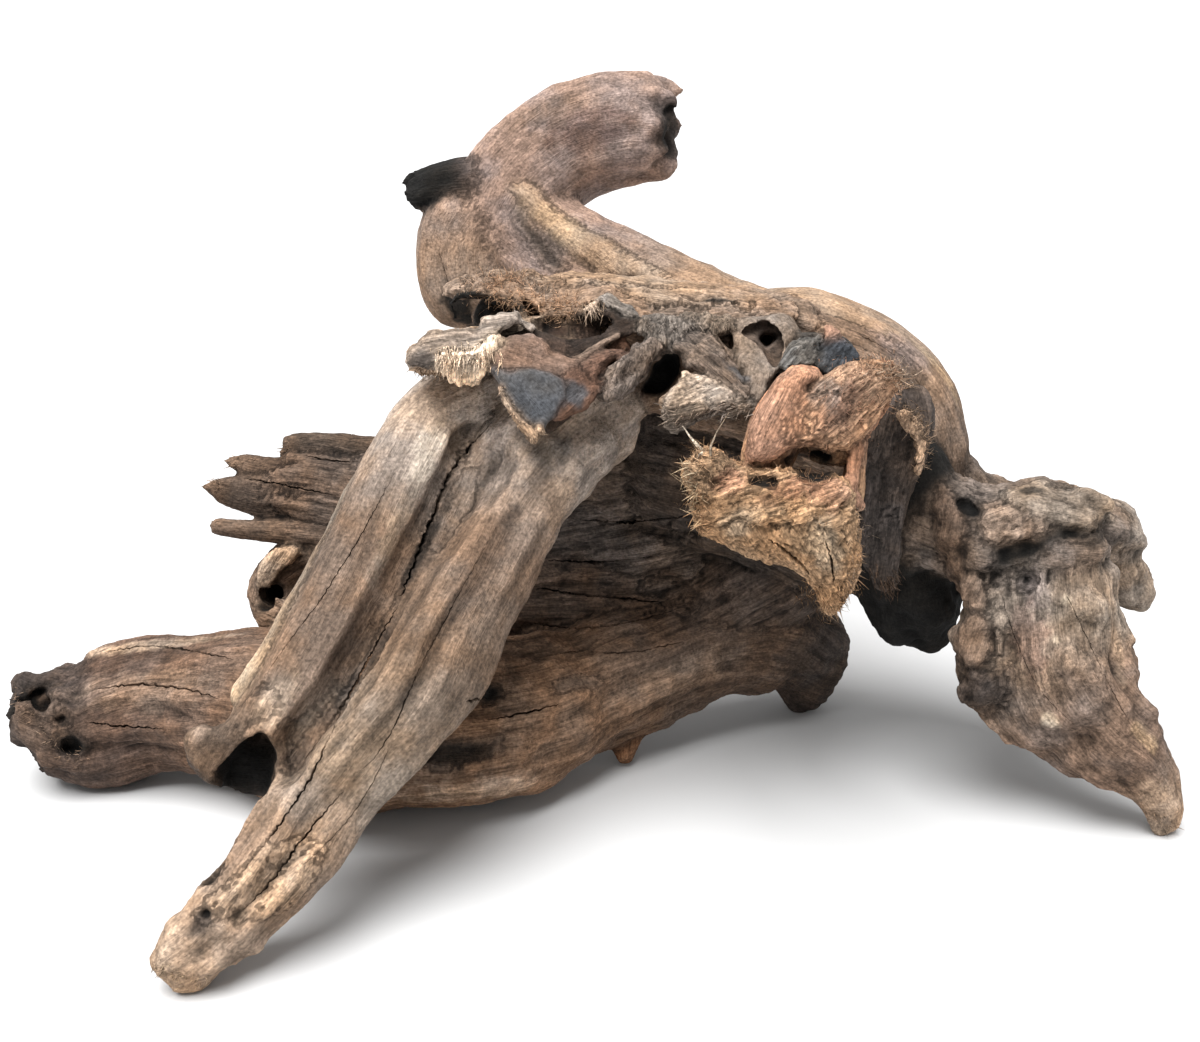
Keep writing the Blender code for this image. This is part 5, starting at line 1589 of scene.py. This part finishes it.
def make_cutter(grain, photo):
    """One solid of everything that is hollow, to take away from both skins."""
    meshes, walls = [], {"pits": [], "bowls": []}
    for name, (face, stations) in HOLLOWS.items():
        rings = rings_of(face, stations, HOLLOW_STEP)
        meshes.append(loft(name, rings, 1, 0.0, ("round", "round"), HOLLOW_SIDES))
        walls["pits"].append(points_of(meshes[-1]) / MM)
    for seed, (name, (rim, reach, depth, jag, outline)) in enumerate(PITS.items()):
        mesh, _, back = slab(name, outline, rim, reach, depth, jag, PIT_SEED + seed, photo)
        meshes.append(mesh)
        walls["bowls" if name in BOWLS else "pits"].append(back)
    # The pits' walls get the near-black painted shade of their coat, the bowls' walls a milder colour
    for kind, found in walls.items():
        spots = np.vstack(found)
        grain.add(kind, spots, np.zeros(len(spots), int), slab_frame(spots, 0))
    cutter = merged("hollows", meshes)
    fuse(cutter, CUTTER_VOXEL)
    return cutter


def thick_body(grain):
    """The limbs as one solid with filled forks, grooves and worn lumps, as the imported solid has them."""
    names = [name for name in LIMBS if name not in CROWN_LIMBS + THIN_LIMBS]
    body = merged("body", make_tubes(names, grain))
    fuse(body, COARSE_VOXEL)
    fill_creases(body.data, CREASE_ROUNDS)
    press_grooves(body.data, GROOVES)
    weather(body.data, WEAR)
    return body


def make_skins():
    """The body's skin, the torn crown's finer skin, and the photograph's view of both."""
    grain = Grain()
    body = thick_body(grain)
    crown = merged("crown", [
        *make_tubes(CROWN_LIMBS, grain, CROWN_SHRINK, CROWN_SET_BACK), *make_faces(CROWN_FACES, grain)])
    photo = Photograph([body, crown])
    body = merged("body", [
        taken(body), *make_tubes(THIN_LIMBS, grain), *make_faces(BODY_FACES, grain, photo)])
    cutter = make_cutter(grain, photo)
    grain.balance()
    for skin, voxel in ((body, BODY_VOXEL), (crown, CROWN_VOXEL)):
        fuse(skin, voxel)
        cut(skin, cutter)
        if skin is body:
            plant_feet(skin.data, FEET)
        fuse(skin, voxel)
        wear_along_grain(skin.data, grain)
    bpy.data.objects.remove(cutter)
    photo = Photograph([body, crown])
    for skin in (body, crown):
        paint(skin.data, grain, photo)
    open_cracks([body, crown], photo)
    return body, crown, grain, photo


def open_cracks(skins, photo):
    """Cuts each crack's wedge from the skin that it lies on."""
    wedges = [[] for _ in skins]
    for seed, (name, (width, depth, pixels)) in enumerate(CRACKS.items()):
        hits = photo.line(pixels)
        if len(hits) >= CRACK_STEPS:
            wedges[hits[0][2]].append(crack_cutter(name, width, depth, hits, seed))
    for skin, meshes in zip(skins, wedges):
        coat = Coat(skin.data)
        while meshes:
            cutter = new_object("crack", meshes.pop())
            cut(skin, cutter)
            bpy.data.objects.remove(cutter)
        coat.mend(skin.data)


def threads(grain, photo):
    """Torn threads of wood, each a thin curved cone that starts a little under the skin."""
    _, ahead, right, high = camera_axes()
    draw = random.Random(THREAD_SEED)
    points, faces, tones, coords = [], [], [], []
    for count, length, thick, angle, spread, curl, scatter, colour, pixels in THREADS.values():
        rows = spline([(x, y, 0) for x, y in pixels])
        for _ in range(count):
            spot = rows[draw.randrange(len(rows))][:2]
            hit = photo.hit([spot[0] + draw.gauss(0, scatter), spot[1] + draw.gauss(0, scatter)])
            if not hit:
                continue
            turn = math.radians(angle + draw.gauss(0, spread))
            way = right * math.cos(turn) + high * math.sin(turn) - ahead * draw.uniform(*THREAD_RISE)
            way = way - hit[1] * min(0.0, float(way @ hit[1])) + THREAD_LIFT * hit[1]
            bend = (right * draw.gauss(0, 1) + high * draw.gauss(0, 1) - ahead * draw.gauss(0, 0.6)) * curl
            size = length * draw.uniform(*THREAD_LENGTHS)
            width = thick * draw.uniform(*THREAD_WIDTHS)
            add_thread(points, faces, hit[0] - hit[1] * THREAD_SUNK, unit(way), bend, size, width)
            shade = draw.uniform(*THREAD_SHADES)
            tones += [(*(shade * part for part in colour), 1.0)] * THREAD_POINTS
            coords += [np.array([draw.uniform(0, 900), 0, 0])] * THREAD_POINTS
    mesh = closed_mesh("driftwood_threads", np.array(points), faces)
    store(mesh, "tone", "FLOAT_COLOR", np.array(tones))
    store(mesh, "grain", "FLOAT_VECTOR", np.array(coords) + np.array(points))
    return new_object("driftwood_threads", mesh)


def add_thread(points, faces, start, way, bend, length, width):
    """Adds one closed cone, bent sideways towards its tip."""
    side = unit(np.cross(way, THREAD_SIDE))
    other = np.cross(way, side)
    first = len(points)
    for i in range(THREAD_RINGS):
        t = i / (THREAD_RINGS - 1)
        middle = start + length * (way * t + bend * THREAD_BEND * t * t)
        half = width / 2 * (1 - THREAD_TAPER * t)
        for j in range(3):
            angle = 2 * math.pi * j / 3
            points.append(middle + half * (side * math.cos(angle) + other * math.sin(angle)))
    for i in range(THREAD_RINGS - 1):
        for j in range(3):
            a, b = first + 3 * i + j, first + 3 * i + (j + 1) % 3
            faces.append((a, b, b + 3, a + 3))
    last = first + 3 * (THREAD_RINGS - 1)
    faces += [(first + 2, first + 1, first), (last, last + 1, last + 2)]


def slices(skin, count):
    """The skin in upright slices of as many faces each, every one a closed solid."""
    points = points_of(skin.data)
    bars = np.quantile(points[:, 0], np.arange(1, count) / count)
    edges = [-1.0, *bars, 1.0]
    coat = Coat(skin.data)
    for k, (left, right) in enumerate(zip(edges, edges[1:])):
        place, size = ((left + right) / 2, 0, 0), (right - left, 2, 2)
        bpy.ops.mesh.primitive_cube_add(size=1, location=place, scale=size)
        block = bpy.context.object
        piece = new_object(f"driftwood_{skin.name}_{k + 1}", skin.data.copy())
        cut(piece, block, "INTERSECT")
        bpy.data.objects.remove(block)
        coat.mend(piece.data)
        piece.data.set_sharp_from_angle(angle=SHARP_ANGLE)
        yield piece
    bpy.data.objects.remove(skin)


class Coat:
    """The colour and grain of a painted skin, to lend to the vertices that a later cut makes."""

    def __init__(self, mesh):
        points = points_of(mesh)
        self.tree = kdtree.KDTree(len(points))
        for i, point in enumerate(points):
            self.tree.insert(point, i)
        self.tree.balance()
        self.tones, self.coords = values_of(mesh, "tone", 4), values_of(mesh, "grain", 3)

    def mend(self, mesh):
        """Cut vertices have no paint. They take their nearest neighbour's, with painted shade that darkens
        them the deeper they lie.
        """
        tone, grain = values_of(mesh, "tone", 4), values_of(mesh, "grain", 3)
        points = points_of(mesh)
        for i in np.flatnonzero(np.abs(grain).sum(1) < 1e-3):
            _, near, gap = self.tree.find(points[i])
            tone[i] = self.tones[near]
            # Painted shade: a crack's walls darken with depth, as its inside falls into shadow
            tone[i, :3] *= np.clip(CUT_PAINTED_SHADE - gap / (CUT_REACH * MM), CUT_DARKEST, 1)
            grain[i] = self.coords[near]
        mesh.attributes["tone"].data.foreach_set("color", tone.ravel())
        mesh.attributes["grain"].data.foreach_set("vector", grain.ravel())


def fit_to_solid(pieces):
    """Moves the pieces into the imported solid's box, and trims what would stand out of it."""
    low, high = (np.array(corner) for corner in CAD_BOX)
    every = [points_of(piece.data) for piece in pieces]
    least = np.min([points.min(0) for points in every], 0)
    most = np.max([points.max(0) for points in every], 0)
    shift = (low + high) / 2 - (least + most) / 2
    shift[2] = low[2]
    for piece, points in zip(pieces, every):
        put_points(piece.data, np.clip(points + shift, low, high))
    return Vector(shift)


def add_camera(shift):
    """The camera that matches the photograph's view."""
    camera = bpy.data.cameras.new("camera")
    camera.lens = LENS
    camera.sensor_width = SENSOR
    obj = bpy.data.objects.new("camera", camera)
    bpy.context.scene.collection.objects.link(obj)
    aim = Vector(CAMERA_AIM) * MM + shift
    way = Vector((0, -math.cos(CAMERA_TILT), math.sin(CAMERA_TILT)))
    obj.location = aim + way * CAMERA_DISTANCE * MM
    obj.rotation_euler = way.to_track_quat("Z", "Y").to_euler()
    bpy.context.scene.camera = obj


def add_light(name, place, spread, power):
    """A wide, soft light that shines evenly from the direction of a place."""
    light = bpy.data.lights.new(name, "SUN")
    light.angle = math.radians(spread)
    light.energy = power
    obj = bpy.data.objects.new(name, light)
    bpy.context.scene.collection.objects.link(obj)
    obj.location = place
    obj.rotation_euler = Vector(place).to_track_quat("Z", "Y").to_euler()


def add_studio():
    """A pale floor, a white surround and one soft light."""
    bpy.ops.mesh.primitive_plane_add(size=FLOOR_WIDTH)
    floor = bpy.context.object
    floor.name = "floor"
    floor.data.materials.append(floor_material())
    floor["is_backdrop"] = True
    world = bpy.data.worlds.new("studio")
    bpy.context.scene.world = world
    world.use_nodes = True
    world.node_tree.nodes["Background"].inputs[0].default_value = (1.0, 1.0, 1.0, 1)
    world.node_tree.nodes["Background"].inputs[1].default_value = SURROUND
    add_light("sky", LIGHT_PLACE, LIGHT_SPREAD, LIGHT_POWER)
    bpy.context.scene.view_settings.view_transform = "Standard"


def main():
    """Makes the pieces, sets them in the solid's box, and puts them in a studio before the camera."""
    body, crown, grain, photo = make_skins()
    torn = threads(grain, photo)
    pieces = [*slices(body, BODY_SLICES), *slices(crown, CROWN_SLICES), torn]
    shift = fit_to_solid(pieces)
    wood = wood_material()
    for piece in pieces:
        piece.data.materials.clear()
        piece.data.materials.append(wood)
        piece.data.shade_smooth()
        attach(piece, "root")
        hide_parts("driftwood")
    add_studio()
    add_camera(shift)
    boxes = [[list(corner) for corner in box] for box in (CAD_BOX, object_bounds())]


main()
